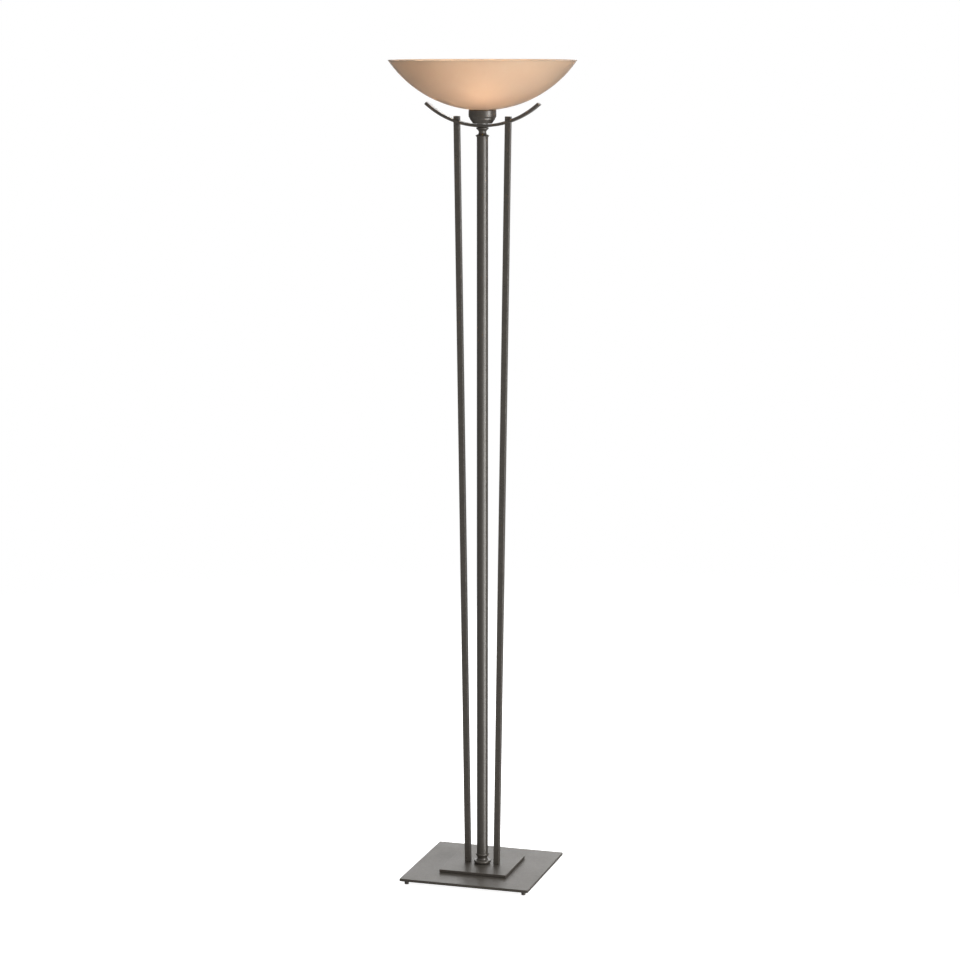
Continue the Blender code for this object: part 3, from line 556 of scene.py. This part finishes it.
def makeBowlTree():
    # A spherical bowl of even wall: outer face, inner face, crowned lip and round edge at the
    # hole, each one strip swept about the axis by the same rule.
    tree, bench, given = newTree("roundBowl", {
        "Outer radius": "Float", "Inner radius": "Float", "Centre height": "Float",
        "Lip level": "Float", "Lip crown": "Float", "Hole radius": "Float",
        "Steps around": "Int", "Steps down": "Int"})
    joined = bench.add("GeometryNodeJoinGeometry")

    def strip(ringRadius, ringLevel, reach, rise, start, end, steps):
        grid = bench.add("GeometryNodeMeshGrid", None, {
            "Size X": 1, "Size Y": 1, "Vertices X": given["Steps around"], "Vertices Y": steps})
        spot = bench.add("ShaderNodeSeparateXYZ", None, {
            "Vector": bench.add("GeometryNodeInputPosition")})
        around = (spot["X"] + 0.5) * fullTurn
        angle = start + (spot["Y"] + 0.5) * (end - start)
        out = ringRadius + reach * angle.sum("COSINE", angle)
        level = ringLevel + rise * angle.sum("SINE", angle)
        place = bench.add("ShaderNodeCombineXYZ", None, {
            "X": out * angle.sum("COSINE", around), "Y": out * angle.sum("SINE", around),
            "Z": level})
        bent = bench.add("GeometryNodeSetPosition", None, {"Geometry": grid, "Position": place})
        bench.tree.links.new(bent.socket, joined.socket.node.inputs["Geometry"])

    centre, lip, hole = given["Centre height"], given["Lip level"], given["Hole radius"]
    ends = []
    for radius in (given["Outer radius"], given["Inner radius"]):
        drop = lip - centre
        holeAngle = 0 - radius.sum("ARCCOSINE", hole / radius)
        strip(0 * radius, centre, radius, radius, holeAngle, radius.sum("ARCSINE", drop / radius),
              given["Steps down"])
        ends.append(((radius * radius - drop * drop) ** 0.5,
                     centre - (radius * radius - hole * hole) ** 0.5))
    (lipOut, holeLow), (lipIn, holeHigh) = ends
    strip((lipOut + lipIn) / 2, lip, (lipOut - lipIn) / 2, given["Lip crown"], 0 * lip,
          0 * lip + math.pi, 12)
    strip(hole, (holeLow + holeHigh) / 2, given["Lip crown"] * -1, (holeHigh - holeLow) / 2,
          0 * lip - math.pi / 2, 0 * lip + math.pi / 2, 6)
    whole = bench.add("GeometryNodeMergeByDistance", None, {
        "Geometry": joined, "Distance": 0.02 * mm})
    closeTree(bench, given, whole)
    return tree

def makeArcTree():
    # A flat bar with softened corners, swept along an arc that hangs below its centre.
    tree, bench, given = newTree("bentFlatBar", {
        "Middle radius": "Float", "Half angle": "Float", "Thickness": "Float", "Depth": "Float",
        "Corner radius": "Float", "Centre height": "Float", "Steps": "Int"})
    half = given["Half angle"]
    arc = bench.add("GeometryNodeCurveArc", None, {
        "Resolution": given["Steps"], "Radius": given["Middle radius"],
        "Start Angle": -math.pi / 2 - half, "Sweep Angle": half * 2})
    lift = bench.add("ShaderNodeCombineXYZ", None, {"Z": given["Centre height"]})
    upright = bench.add("GeometryNodeTransform", None, {
        "Geometry": arc, "Translation": lift, "Rotation": (math.pi / 2, 0, 0)})
    section = bench.add("GeometryNodeCurvePrimitiveQuadrilateral", None, {
        "Width": given["Depth"], "Height": given["Thickness"]})
    section = bench.add("GeometryNodeFilletCurve", {"mode": "POLY"}, {
        "Curve": section, "Count": 4, "Radius": given["Corner radius"]})
    swept = bench.add("GeometryNodeCurveToMesh", None, {
        "Curve": upright, "Profile Curve": section, "Fill Caps": True})
    closeTree(bench, given, swept)
    return tree

threadTree, ribTree = makeThreadTree(), makeRibTree()
bowlTree, arcTree = makeBowlTree(), makeArcTree()

def cutThread(piece, node, look):
    throughTree(piece, threadTree, {
        "Pitch": look["pitch"] * mm, "Depth": look["depth"] * mm, "Low end": look["low"] * mm,
        "High end": look["high"] * mm, "Least radius": look["least"] * mm,
        "Centre": footOf(node), "Finish": finishes[slotOf[node]]})

# The foot: two plates and their glides.
plateSizes = {"edge": 0.0008, "pipeHole": 5.1, "screwHole": 3.3, "screwHead": 5.9,
              "barFoot": 34.3, "studHole": 2.8, "studPlay": 0.3}

def pegTool(outline, x, y, z, steps=48):
    return spin("tool", [(r, h, 0.0) for r, h in outline], False, steps, Vector((x, y, z)))

def holeTool(radius, depth, x, y, z, steps=48, start=-2):
    outline = [(0, start), (radius, start), (radius, depth), (0, depth)]
    return pegTool(outline, x, y, z, steps)

def plates(look):
    hole, head = look["screwHole"], look["screwHead"]
    for node in ("base_plate", "plinth_plate"):
        low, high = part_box(node)
        through = tallOf(node) + 2
        piece = softBlock(pieceName(node), high - low, footOf(node), look["edge"], steps=4)
        drill(piece, holeTool(look["pipeHole"], through, 0, 0, low.z))
        outline = [(0, -2), (hole, -2), (hole, through), (0, through)]
        if node == "base_plate":  # sunk for the screws' heads
            outline[1:2] = [(head, -2), (head, 0), (hole, head - hole)]
        for sideName, side in sideNames:
            drill(piece, pegTool(outline, side * look["barFoot"] * mm, 0, low.z))
        if node == "base_plate":
            for corner in cornerNames:
                stud = "glide_stud_" + corner
                depth = (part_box(stud)[1].z - low.z) / mm + look["studPlay"]
                middle = footOf(stud)
                drill(piece, holeTool(look["studHole"], depth, middle.x, middle.y, low.z))
        settle(piece, node, flat=True)

glideSizes = {"foot": 8.7, "radius": 5.0, "socket": 2.8, "socketFloor": 3.7, "groove": 0.35,
              "stud": 2.5, "studLength": 9.6, "bevel": 0.5, "pitch": 0.8, "depth": 0.45}

def glides(look):
    # Turned feet with a worn round sole and a gripping groove, on threaded studs.
    r, top = look["radius"], look["foot"]
    outline = [(0, look["socketFloor"]), (look["socket"], look["socketFloor"], 0.1),
               (look["socket"], top, 0.2), (r, top, 0.5), (r, 6.0, 0.2),
               (r - look["groove"], 5.6, 0.2), (r - look["groove"], 5.0, 0.2), (r, 4.6, 0.2),
               (r, 0, 1.4), (1.6, 0, 0.3), (1.2, 0.25, 0.3), (0, 0.25)]
    shank, length, bevel = look["stud"], look["studLength"], look["bevel"]
    studOutline = [(0, 0), (shank - 0.4, 0, 0.1), (shank, bevel, 0.1),
                   (shank, length - bevel, 0.1), (shank - bevel, length, 0.1), (0, length)]
    for corner in cornerNames:
        foot, stud = "glide_foot_" + corner, "glide_stud_" + corner
        turn(foot, outline, closed=False, steps=48)
        piece = turnedPiece(stud, studOutline, closed=False, steps=32,
                            threads=[(bevel, length - bevel, look["pitch"] / 6)])
        cutThread(piece, stud, {**look, "low": 0.3, "high": length - 0.2, "least": 1.8})
        settle(piece, stud, 40)

plates(plateSizes)
glides(glideSizes)
print("foot made")

# The column: a tube between two turned fittings, and the pipe that draws them together.
fittingSizes = {
    "tube": 12.7, "tubeWall": 1.3, "socket": 13.0, "bore": 5.1,
    "footRing": 15.8, "footWaist": 11.3, "bead": 16.0, "beadRadius": 3.5,
    "topRing": 16.0, "topWaist": 8.55, "topBead": 13.85}

def footFitting(look):
    bore, socket, ring = look["bore"], look["socket"], look["footRing"]
    waist, bead, curl = look["footWaist"], look["bead"], look["beadRadius"]
    outline = [(bore, 0, 0.2), (bead + curl, 0, curl), (bead + curl, 2 * curl, curl),
               (bead - 0.4, 2 * curl, 0.15)]
    outline += bend((bead - 1.2, 7.35), (waist + 0.7, 8.3), (waist, 11.0))
    outline += bend((waist, 12.6), (waist + 1.1, 16.4), (ring - 1.4, 18.6))
    outline += [(ring - 1.0, 18.9, 0.15), (ring, 20.7, 0.4), (ring - 0.2, 21.6, 0.3),
                (ring - 1.1, 23, 0.3), (socket, 23, 0.15), (socket, 20.5, 0.1), (bore, 20.5, 0.1)]
    turn("foot_fitting", outline, steps=128)

def topFitting(look):
    bore, socket, ring = look["bore"], look["socket"], look["topRing"]
    waist, bead = look["topWaist"], look["topBead"]
    outline = [(bore, 2.5, 0.1), (socket, 2.5, 0.1), (socket, 0, 0.1), (socket + 0.3, 0, 0.1),
               (ring - 2.2, 1.5, 0.3), (ring, 3.1, 0.25), (ring - 2.6, 5.0, 0.3)]
    outline += bend((ring - 3.4, 5.5), (waist + 0.4, 6.6), (waist, 9.6))
    outline += bend((waist, 12.0), (waist + 0.8, 15.1), (bead - 0.8, 17.6))
    outline += [(bead, 18.4, 0.4), (bead, 21.4, 1.9), (bore, 21.4, 0.2)]
    turn("top_fitting", outline, steps=128)

def columnTube(look):
    length, inner = tallOf("column_tube"), look["tube"] - look["tubeWall"]
    outline = [(inner, 0, 0.25), (look["tube"], 0, 0.3), (look["tube"], length, 0.3),
               (inner, length, 0.25)]
    turn("column_tube", outline, steps=128)

pipeSizes = {"radius": 4.8, "bore": 3.3, "pitch": 1.0, "depth": 0.5, "threaded": 26.0}

def threadedPipe(look):
    length = tallOf("threaded_pipe")
    r, bore, run = look["radius"], look["bore"], look["threaded"]
    outline = [(bore, 0, 0.2), (r - 0.4, 0, 0.1), (r, 0.6, 0.1), (r, length - 0.6, 0.1),
               (r - 0.4, length, 0.1), (bore, length, 0.2)]
    zones = [(0.8, run, look["pitch"] / 6), (length - run, length - 0.8, look["pitch"] / 6)]
    piece = turnedPiece("threaded_pipe", outline, steps=32, threads=zones)
    for start, end, gap in zones:
        cutThread(piece, "threaded_pipe", {**look, "low": start, "high": end, "least": 4.3})
    settle(piece, "threaded_pipe", 40)

nutSizes = {"flats": 15.5, "bore": 5.1, "corner": 0.5}

def hexNut(node, look):
    # A six-sided blank, its corners turned off at both ends, with a bevelled hole.
    height, r, middle = tallOf(node), look["flats"] / math.sqrt(3), footOf(node)
    mesh = bpy.data.meshes.new("blank")
    shape = bmesh.new()
    bmesh.ops.create_cone(shape, cap_ends=True, segments=6, radius1=r * mm, radius2=r * mm,
                          depth=height * mm)
    bmesh.ops.rotate(shape, verts=shape.verts, cent=(0, 0, 0),
                     matrix=Matrix.Rotation(math.pi / 6, 3, "Z"))
    bmesh.ops.translate(shape, verts=shape.verts, vec=middle + Vector((0, 0, height * mm / 2)))
    shape.to_mesh(mesh)
    shape.free()
    piece = newPiece(pieceName(node), mesh)
    flat = look["flats"] / 2
    collar = [(0, 0), (flat - 0.1, 0), (r + 0.1, look["corner"] + 0.2),
              (r + 0.1, height - look["corner"] - 0.2), (flat - 0.1, height), (0, height)]
    drill(piece, pegTool(collar, middle.x, middle.y, middle.z, 72), "INTERSECT")
    hole = [(0, -1), (look["bore"] + 1.4, -1), (look["bore"], 0.5), (look["bore"], height - 0.5),
            (look["bore"] + 1.4, height + 1), (0, height + 1)]
    drill(piece, pegTool(hole, middle.x, middle.y, middle.z, 48))
    settle(piece, node, 20)

pipeEndSizes = {"washerBore": 5.1, "washer": 12, "baseWasher": 1.2, "cupWasher": 1.0,
                "bushingBore": 2.1, "bushing": 3.0, "bushingHead": 5.8, "headHeight": 1.1,
                "bushingHeight": 7.1}

def pipeEnd(look):
    bore, r = look["washerBore"], look["washer"]
    for node, height in (("base_washer", look["baseWasher"]),
                         ("cup_seat_washer", look["cupWasher"])):
        turn(node, [(bore, 0, 0.1), (r, 0, 0.3), (r, height, 0.25), (bore, height, 0.1)], steps=72)
    for node in ("base_nut", "cup_nut"):
        hexNut(node, nutSizes)
    bore, r, head = look["bushingBore"], look["bushing"], look["bushingHead"]
    flange, top = look["headHeight"], look["bushingHeight"]
    outline = [(bore, 0, 0.5), (head, 0, 0.5), (head, flange, 0.2), (r, flange, 0.1),
               (r, top, 0.3), (bore, top, 0.2)]
    turn("cord_bushing", outline, steps=48)

footFitting(fittingSizes)
topFitting(fittingSizes)
columnTube(fittingSizes)
threadedPipe(pipeSizes)
pipeEnd(pipeEndSizes)
print("column made")

# Two leaning bars, and the bent bar across their heads.
barSizes = {"side": 12.7, "edge": 0.7, "holeRadius": 3.3, "holeDepth": 15.3, "footX": 34.3,
            "play": 0.3, "screwHead": 5.6, "shank": 3.0, "hexKey": 2.0, "keyDepth": 2.2}
arcSizes = {"innerRadius": 193.2, "thickness": 6.35, "halfAngle": 41.5, "corner": 0.55,
            "endEdge": 0.5, "steps": 97, "bore": 5.1}

def barLean(look):
    low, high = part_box("side_bar_right")
    length = high.z - low.z
    return (high.x - low.x - look["side"] * mm) / length, length

def sideBars(look):
    lean, length = barLean(look)
    for sideName, side in sideNames:
        node = "side_bar_" + sideName
        low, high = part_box(node)
        foot = Vector((side * look["footX"] * mm, 0, low.z))
        size = (look["side"] * mm, look["side"] * mm, length)
        piece = softBlock(pieceName(node), size, foot, look["edge"] * mm, side * lean)
        drill(piece, holeTool(look["holeRadius"], look["holeDepth"], foot.x, 0, low.z))
        settle(piece, node, flat=True)
        screw = "bar_screw_" + sideName
        low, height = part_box(screw)[0], tallOf(screw)
        head, shank = look["screwHead"], look["shank"]
        outline = [(0, 0), (head, 0, 0.15), (shank, head - shank, 0.2),
                   (shank, height - 0.6, 0.1), (shank - 0.6, height, 0.1), (0, height)]
        piece = turnedPiece(screw, outline, closed=False, steps=48,
                            threads=[(7.0, height - 0.5, 1 / 6)])
        cutThread(piece, screw, {"pitch": 1.0, "depth": 0.5, "low": 6.0, "high": height,
                                 "least": 2.2})
        key, depth = look["hexKey"], look["keyDepth"]
        drill(piece, pegTool([(0, -1), (key, -1), (key, depth), (0, depth + 1)],
                             foot.x, 0, low.z, 6))
        settle(piece, screw, 35)

def bentBar(look, bars):
    low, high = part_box("bent_bar")
    centre = low.z + (look["innerRadius"] + look["thickness"]) * mm
    piece = newPiece("bentBar", bpy.data.meshes.new("bentBar"))
    throughTree(piece, arcTree, {
        "Middle radius": (look["innerRadius"] + look["thickness"] / 2) * mm,
        "Half angle": math.radians(look["halfAngle"]), "Thickness": look["thickness"] * mm,
        "Depth": high.y - low.y, "Corner radius": look["corner"] * mm, "Centre height": centre,
        "Steps": look["steps"], "Finish": finishes["column_paint"]})
    shape = bmesh.new()
    shape.from_mesh(piece.data)
    bmesh.ops.remove_doubles(shape, verts=shape.verts, dist=0.000001)
    caps = [face for face in shape.faces if len(face.verts) > 8]
    rims = list({edge for face in caps for edge in face.edges})
    bmesh.ops.bevel(shape, geom=rims, offset=look["endEdge"] * mm, segments=3, profile=0.5,
                    affect="EDGES")
    bmesh.ops.recalc_face_normals(shape, faces=shape.faces)
    layer = shape.verts.layers.float.new("edgeWear")
    for v in shape.verts:  # the long edges are worn, and the middles of the faces aren't
        reach = math.hypot(v.co.x, v.co.z - centre)
        fromFace = min(reach - look["innerRadius"] * mm,
                       (look["innerRadius"] + look["thickness"]) * mm - reach)
        fromSide = (high.y - low.y) / 2 - abs(v.co.y)
        v[layer] = 1.0 if max(fromFace, fromSide) < 0.001 else 0.0
    shape.to_mesh(piece.data)
    shape.free()
    drill(piece, holeTool(look["bore"], 12, 0, 0, low.z, start=-3))
    lean, length = barLean(bars)
    width = (bars["side"] + 2 * bars["play"]) * mm
    for sideName, side in sideNames:
        foot = Vector((side * bars["footX"] * mm, 0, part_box("side_bar_" + sideName)[0].z))
        size = (width, width, length + 4 * mm)
        drill(piece, softBlock("tool", size, foot, bars["edge"] * mm, side * lean, reach=0))
    settle(piece, "bent_bar", 30)

sideBars(barSizes)
bentBar(arcSizes, barSizes)
print("bars made")

cupSizes = {"radius": 31.0, "height": 30.2, "wallFoot": 14.7, "shoulder": 28.9, "neck": 21.3,
            "wall": 1.6, "floor": 2.0, "bore": 5.1}

def socketCup(look):
    r, top, foot, shoulder = look["radius"], look["height"], look["wallFoot"], look["shoulder"]
    neck, wall, bore = look["neck"], look["wall"], look["bore"]
    outline = [(bore, 0, 0.1), (neck, 0, 0.4)]
    outline += bend((neck + 0.3, 0.6), (neck + 1.9, 3.0), (shoulder - 2.2, 7.7), 8)
    outline += [(shoulder - 1.5, 8.4, 0.25), (shoulder - 1.3, 9.0, 0.15),
                (shoulder - 0.3, 12.0, 0.2), (shoulder + 0.2, 12.6, 0.2),
                (r - 1.2, 13.6, 0.3), (r, foot + 0.3, 0.5),
                (r, foot + 2.4, 0.1), (r - 0.25, foot + 2.65, 0.1), (r, foot + 2.9, 0.1),
                (r, top - 1.9, 0.5), (r - 1.4, top, 0.35), (r - wall, top, 0.1),
                (r - wall, foot + wall, 0.4), (shoulder - 4.8, 8.9, 0.6),
                (neck - wall, look["floor"], 0.4), (bore, look["floor"], 0.1)]
    turn("socket_cup", outline, steps=144)

holderSizes = {"radius": 19.5, "inner": 14.2, "height": 30.0, "flange": 25.0, "flangeLow": 5.0,
               "flangeHigh": 7.0, "pitch": 2.4, "depth": 0.7}
clampSizes = {"bore": 19.8, "radius": 27.4, "height": 6.0, "ribs": 48, "ribRadius": 0.6}

def lampholder(look):
    r, inner, height = look["radius"], look["inner"], look["height"]
    low, high = look["flangeLow"], look["flangeHigh"]
    outline = [(inner, 0, 0.3), (r, 0, 0.4), (r, low, 0.3), (look["flange"], low, 0.4),
               (look["flange"], high, 0.4), (r, high, 0.3), (r, height, 0.8), (inner, height, 0.4)]
    piece = turnedPiece("lampholder_body", outline, steps=96,
                        threads=[(high + 1.5, height - 1.2, look["pitch"] / 8)])
    cutThread(piece, "lampholder_body", {**look, "low": high + 1.2, "high": height - 0.8,
                                         "least": 18})
    settle(piece, "lampholder_body", 40)

    cap = [(5.1, 0, 0.2), (18.5, 0, 2.0), (18.5, 9.5, 0.2), (18.1, 9.8, 0.2), (18.1, 10.6, 0.2),
           (18.5, 10.9, 0.2), (18.5, 14, 0.3), (17, 14, 0.3), (17, 2, 0.6), (5.1, 2, 0.2)]
    turn("lampholder_cap", cap)
    contact = [(0, 0), (4.5, 0, 0.1), (4.5, 0.5, 0.3), (2.4, 1.0, 0.4), (0, 1.0)]
    turn("centre_contact", contact, closed=False, steps=48)
    shell = [(9.5, 0, 0.1), (13.9, 0, 0.6), (13.9, 25.2, 0.15), (13.4, 25.2, 0.15),
             (13.4, 0.5, 0.4), (9.5, 0.5, 0.1)]
    piece = turnedPiece("screw_shell", shell, steps=96, threads=[(2, 24, 0.45)])
    cutThread(piece, "screw_shell", {"pitch": 3.6, "depth": 0.3, "low": 2, "high": 24,
                                     "least": 13})
    settle(piece, "screw_shell", 50)

def clampRing(look):
    bore, r, height = look["bore"], look["radius"], look["height"]
    outline = [(bore, 0, 0.3), (r, 0, 0.5), (r, height, 1.2), (22.5, height, 0.5),
               (21.5, height - 0.8, 0.5), (bore, height - 0.8, 0.3)]
    piece = turnedPiece("clamp_ring", outline, steps=96)
    middle = footOf("clamp_ring") + Vector((0, 0, height / 2 * mm - 0.4 * mm))
    throughTree(piece, ribTree, {
        "Count": look["ribs"], "Radius": r * mm, "Rib radius": look["ribRadius"] * mm,
        "Height": (height - 2.2) * mm, "Centre": middle, "Finish": finishes["black_plastic"]})
    settle(piece, "clamp_ring", 40)
    for node, outer in (("lower_gasket", 25.0), ("upper_gasket", 28.0)):
        ring = [(bore, 0, 0.4), (outer, 0, 0.5), (outer, 1.5, 0.5), (bore, 1.5, 0.4)]
        turn(node, ring)

terminalSizes = {"radius": 16.7, "hole": 1.8, "holeDepth": 5.3, "head": 2.6, "headHeight": 1.8,
                 "shank": 1.5, "slot": (0.0007, 0.008, 0.0022)}

def terminalBlock(look):
    height, r = tallOf("terminal_block"), look["radius"]
    ring = [(0, 0), (r, 0, 0.5), (r, height, 0.5), (0, height)]
    piece = turnedPiece("terminal_block", ring, closed=False, steps=72)
    screws = ["terminal_screw_" + sideName for sideName, side in sideNames]
    for node in screws:
        drill(piece, holeTool(look["hole"], look["holeDepth"], footOf(node).x, 0,
                              footOf("terminal_block").z, 24, -3))
    settle(piece, "terminal_block")
    head, shank, low = look["head"], look["shank"], look["headHeight"]
    for node in screws:
        top = tallOf(node)
        outline = [(0, 0), (head, 0, 0.6), (head, low, 0.15), (shank, low, 0.1),
                   (shank, top, 0.2), (0, top)]
        piece = turnedPiece(node, outline, closed=False, steps=36)
        slotFoot = footOf(node) - Vector((0, 0, 0.0012))
        drill(piece, softBlock("tool", look["slot"], slotFoot, 0.05 * mm, reach=0))
        settle(piece, node)

socketCup(cupSizes)
lampholder(holderSizes)
clampRing(clampSizes)
terminalBlock(terminalSizes)
print("cup and lampholder made")

bowlSizes = {"wall": 4.5, "rim": 209.0, "hole": 21.0, "depth": 110.2, "crown": 0.5,
             "around": 193, "down": 49}

def glassBowl(look):
    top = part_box("glass_bowl")[1].z
    radius = (look["rim"] ** 2 + look["depth"] ** 2) / (2 * look["depth"])
    centre = top / mm + radius - look["depth"]
    piece = newPiece("glassBowl", bpy.data.meshes.new("glassBowl"))
    throughTree(piece, bowlTree, {
        "Outer radius": radius * mm, "Inner radius": (radius - look["wall"]) * mm,
        "Centre height": centre * mm, "Lip level": top - look["crown"] * mm,
        "Lip crown": look["crown"] * mm, "Hole radius": look["hole"] * mm,
        "Steps around": look["around"], "Steps down": look["down"],
        "Finish": finishes["amber_glass"]})
    shape = bmesh.new()
    shape.from_mesh(piece.data)
    bmesh.ops.recalc_face_normals(shape, faces=shape.faces)
    shape.to_mesh(piece.data)
    shape.free()
    settle(piece, "glass_bowl", 60)

bulbSizes = {"radius": 30.0, "neck": 12.2, "glass": 0.9, "cap": 13.0, "capHeight": 22.5}

def globeWall(radius, neck, centre, neckTop):
    wall = [(radius * math.cos(math.radians(a)), centre + radius * math.sin(math.radians(a)), 0)
            for a in range(90, -39, -4)]
    wall[0] = (0, centre + radius)
    lastRadius, lastHeight = wall[-1][:2]
    corner = lastHeight - (lastRadius - neck) * math.tan(math.radians(55))
    return wall + bend((lastRadius, lastHeight), (neck, corner), (neck, neckTop), 10)[1:]

def bulb(look):
    r, neck, glass = look["radius"], look["neck"], look["glass"]
    centre = tallOf("bulb_globe") - r
    outer = globeWall(r, neck, centre, 14.5) + [(neck, 0, 0.3)]
    inner = [(neck - glass, 0, 0.3)] + globeWall(r - glass, neck - glass, centre, 14.5)[::-1]
    turn("bulb_globe", outer + inner, closed=False, reach=99)

    cap, height = look["cap"], look["capHeight"]
    outline = [(9.5, 0, 0.1), (cap, 2.0, 0.8), (cap, height - 2.4, 0.1),
               (cap - 0.25, height - 1.9, 0.2), (cap - 0.25, height - 1.0, 0.2),
               (cap, height - 0.5, 0.2), (cap, height, 0.1),
               (cap - 0.4, height, 0.1), (cap - 0.4, 2.4, 0.6), (8.6, 0.4, 0.1)]
    piece = turnedPiece("bulb_cap", outline, steps=96, threads=[(2.6, height - 2.6, 0.4)])
    cutThread(piece, "bulb_cap", {"pitch": 3.6, "depth": 0.95, "low": 3.0, "high": height - 2.6,
                                  "least": 12.2})
    settle(piece, "bulb_cap", 50)
    insulator = [(0, 0), (4.5, 0, 0.3), (9.5, 4.2, 0.4), (0, 4.2)]
    turn("bulb_insulator", insulator, closed=False, steps=72)
    tip = [(0, 0), (2.2, 0, 0.6), (4.0, 0.8, 0.5), (4.5, 1.3, 0.1), (0, 1.3)]
    turn("bulb_tip", tip, closed=False, steps=48)

glassBowl(bowlSizes)
bulb(bulbSizes)
for node, kept in frame["nodes"].items():
    kept.data.materials.clear()
    kept.data.materials.append(finishes[slotOf[node]])
print("bowl and bulb made")

def paleFloor():
    # A round pale floor that fades away at its edge.
    shape = bmesh.new()
    bmesh.ops.create_circle(shape, cap_ends=True, segments=96, radius=4.0)
    for face in shape.faces:
        face.normal_update()
        if face.normal.z < 0:
            face.normal_flip()
    mesh = bpy.data.meshes.new("floor")
    shape.to_mesh(mesh)
    shape.free()
    floor = newPiece("floor", mesh)
    made, bench, place = newFinish("paleFloor")
    far = bench.add("ShaderNodeVectorMath", {"operation": "LENGTH"}, {0: place})["Value"]
    fade = bench.add("ShaderNodeMapRange", {"interpolation_type": "SMOOTHSTEP"}, {
        "Value": far, "From Min": 1.6, "From Max": 3.6})
    pale = bench.principled({
        "Base Color": (0.9, 0.9, 0.9, 1), "Roughness": 0.9, "Emission Color": (1, 1, 1, 1),
        "Emission Strength": 0.9})
    clear = bench.add("ShaderNodeBsdfTransparent")
    below = bench.add("ShaderNodeNewGeometry")["Backfacing"]  # clear from underneath
    closeFinish(bench, bench.add("ShaderNodeMixShader", None, {
        0: fade.sum("MAXIMUM", fade, below), 1: pale, 2: clear}))
    mesh.materials.append(made)
    floor.visible_diffuse = False
    floor.visible_glossy = False

def addLight(name, kind, place, power):
    lamp = bpy.data.lights.new(name, kind)
    lamp.energy = power
    thing = bpy.data.objects.new(name, lamp)
    thing.location = place
    thing.visible_camera = False
    bpy.context.scene.collection.objects.link(thing)
    return thing, lamp

def softbox(name, place, target, width, height, power):
    thing, lamp = addLight(name, "AREA", place, power)
    lamp.shape = "RECTANGLE"
    lamp.size, lamp.size_y = width, height
    thing.rotation_euler = (Vector(target) - Vector(place)).to_track_quat("-Z", "Y").to_euler()

glowTint = (1.0, 0.93, 0.83)
glowLooks = {"bulbGlow": {"power": 1.75, "ahead": 0.0, "below": 0.012},
             "bulbGlowAhead": {"power": 0.52, "ahead": 0.104, "below": 0.0135}}

def bulbGlow(looks, way):
    # The bulb's light on the bowl: from inside the globe, which casts no shadow, and a little
    # from in front of it, as thick glass passes most light straight on.
    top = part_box("bulb_globe")[1].z
    flat = Vector((way.x, way.y, 0)).normalized()
    for name, look in looks.items():
        place = Vector((0, 0, top - look["below"])) - flat * look["ahead"]
        thing, lamp = addLight(name, "POINT", place, look["power"])
        lamp.color = glowTint
        lamp.shadow_soft_size = 0.02
    bpy.data.objects["bulbGlobe"].visible_shadow = False

def whiteWorld(strength):
    # White behind the lamp, and dimmer for the light that it gives.
    world = bpy.data.worlds.new("studio")
    world.use_nodes = True
    world.node_tree.nodes.clear()
    bench = Bench(world.node_tree)
    seen = bench.add("ShaderNodeLightPath")["Is Camera Ray"]
    dim = bench.add("ShaderNodeBackground", None, {"Color": shade((1, 0.99, 0.97)),
                                                   "Strength": strength})
    white = bench.add("ShaderNodeBackground", None, {"Color": (1, 1, 1, 1), "Strength": 1.0})
    surface = bench.add("ShaderNodeMixShader", None, {0: seen, 1: dim, 2: white})
    bench.add("ShaderNodeOutputWorld", None, {"Surface": surface})
    bpy.context.scene.world = world

def around(angle, far, height):  # a place, by its angle from the front
    angle = math.radians(angle)
    return (far * math.sin(angle), -far * math.cos(angle), height)

cameraWay = Vector((-0.28663, 0.94413, -0.16268))
paleFloor()
whiteWorld(0.34)
softbox("keyLight", around(74, 2.3, 0.7), (0, 0, 0.95), 0.9, 2.6, 52)
softbox("keyFill", around(53, 2.3, 0.7), (0, 0, 0.95), 0.6, 2.6, 17)
softbox("topLight", (0.2, 0.4, 4.2), (0, 0, 0), 3.2, 3.2, 70)
softbox("backLight", (-1.4, 8.0, 1.9), (0, 0, 0.9), 6.0, 2.4, 104)
softbox("highBackLight", (-0.28, 7.0, 3.85), (0, 0, 1.75), 2.8, 1.0, 45)
softbox("lowLight", around(30, 3.2, 0.3), (0, 0, 1.6), 1.6, 0.6, 7)
bulbGlow(glowLooks, cameraWay)

view = bpy.data.cameras.new("view")
view.lens, view.sensor_width = 102.03, 36
camera = bpy.data.objects.new("camera", view)
camera.location = (1.7543, -5.7975, 1.9159)
camera.rotation_euler = cameraWay.to_track_quat("-Z", "Y").to_euler()
bpy.context.scene.collection.objects.link(camera)
bpy.context.scene.camera = camera
bpy.context.scene.view_settings.view_transform = "Standard"
print("stage set")
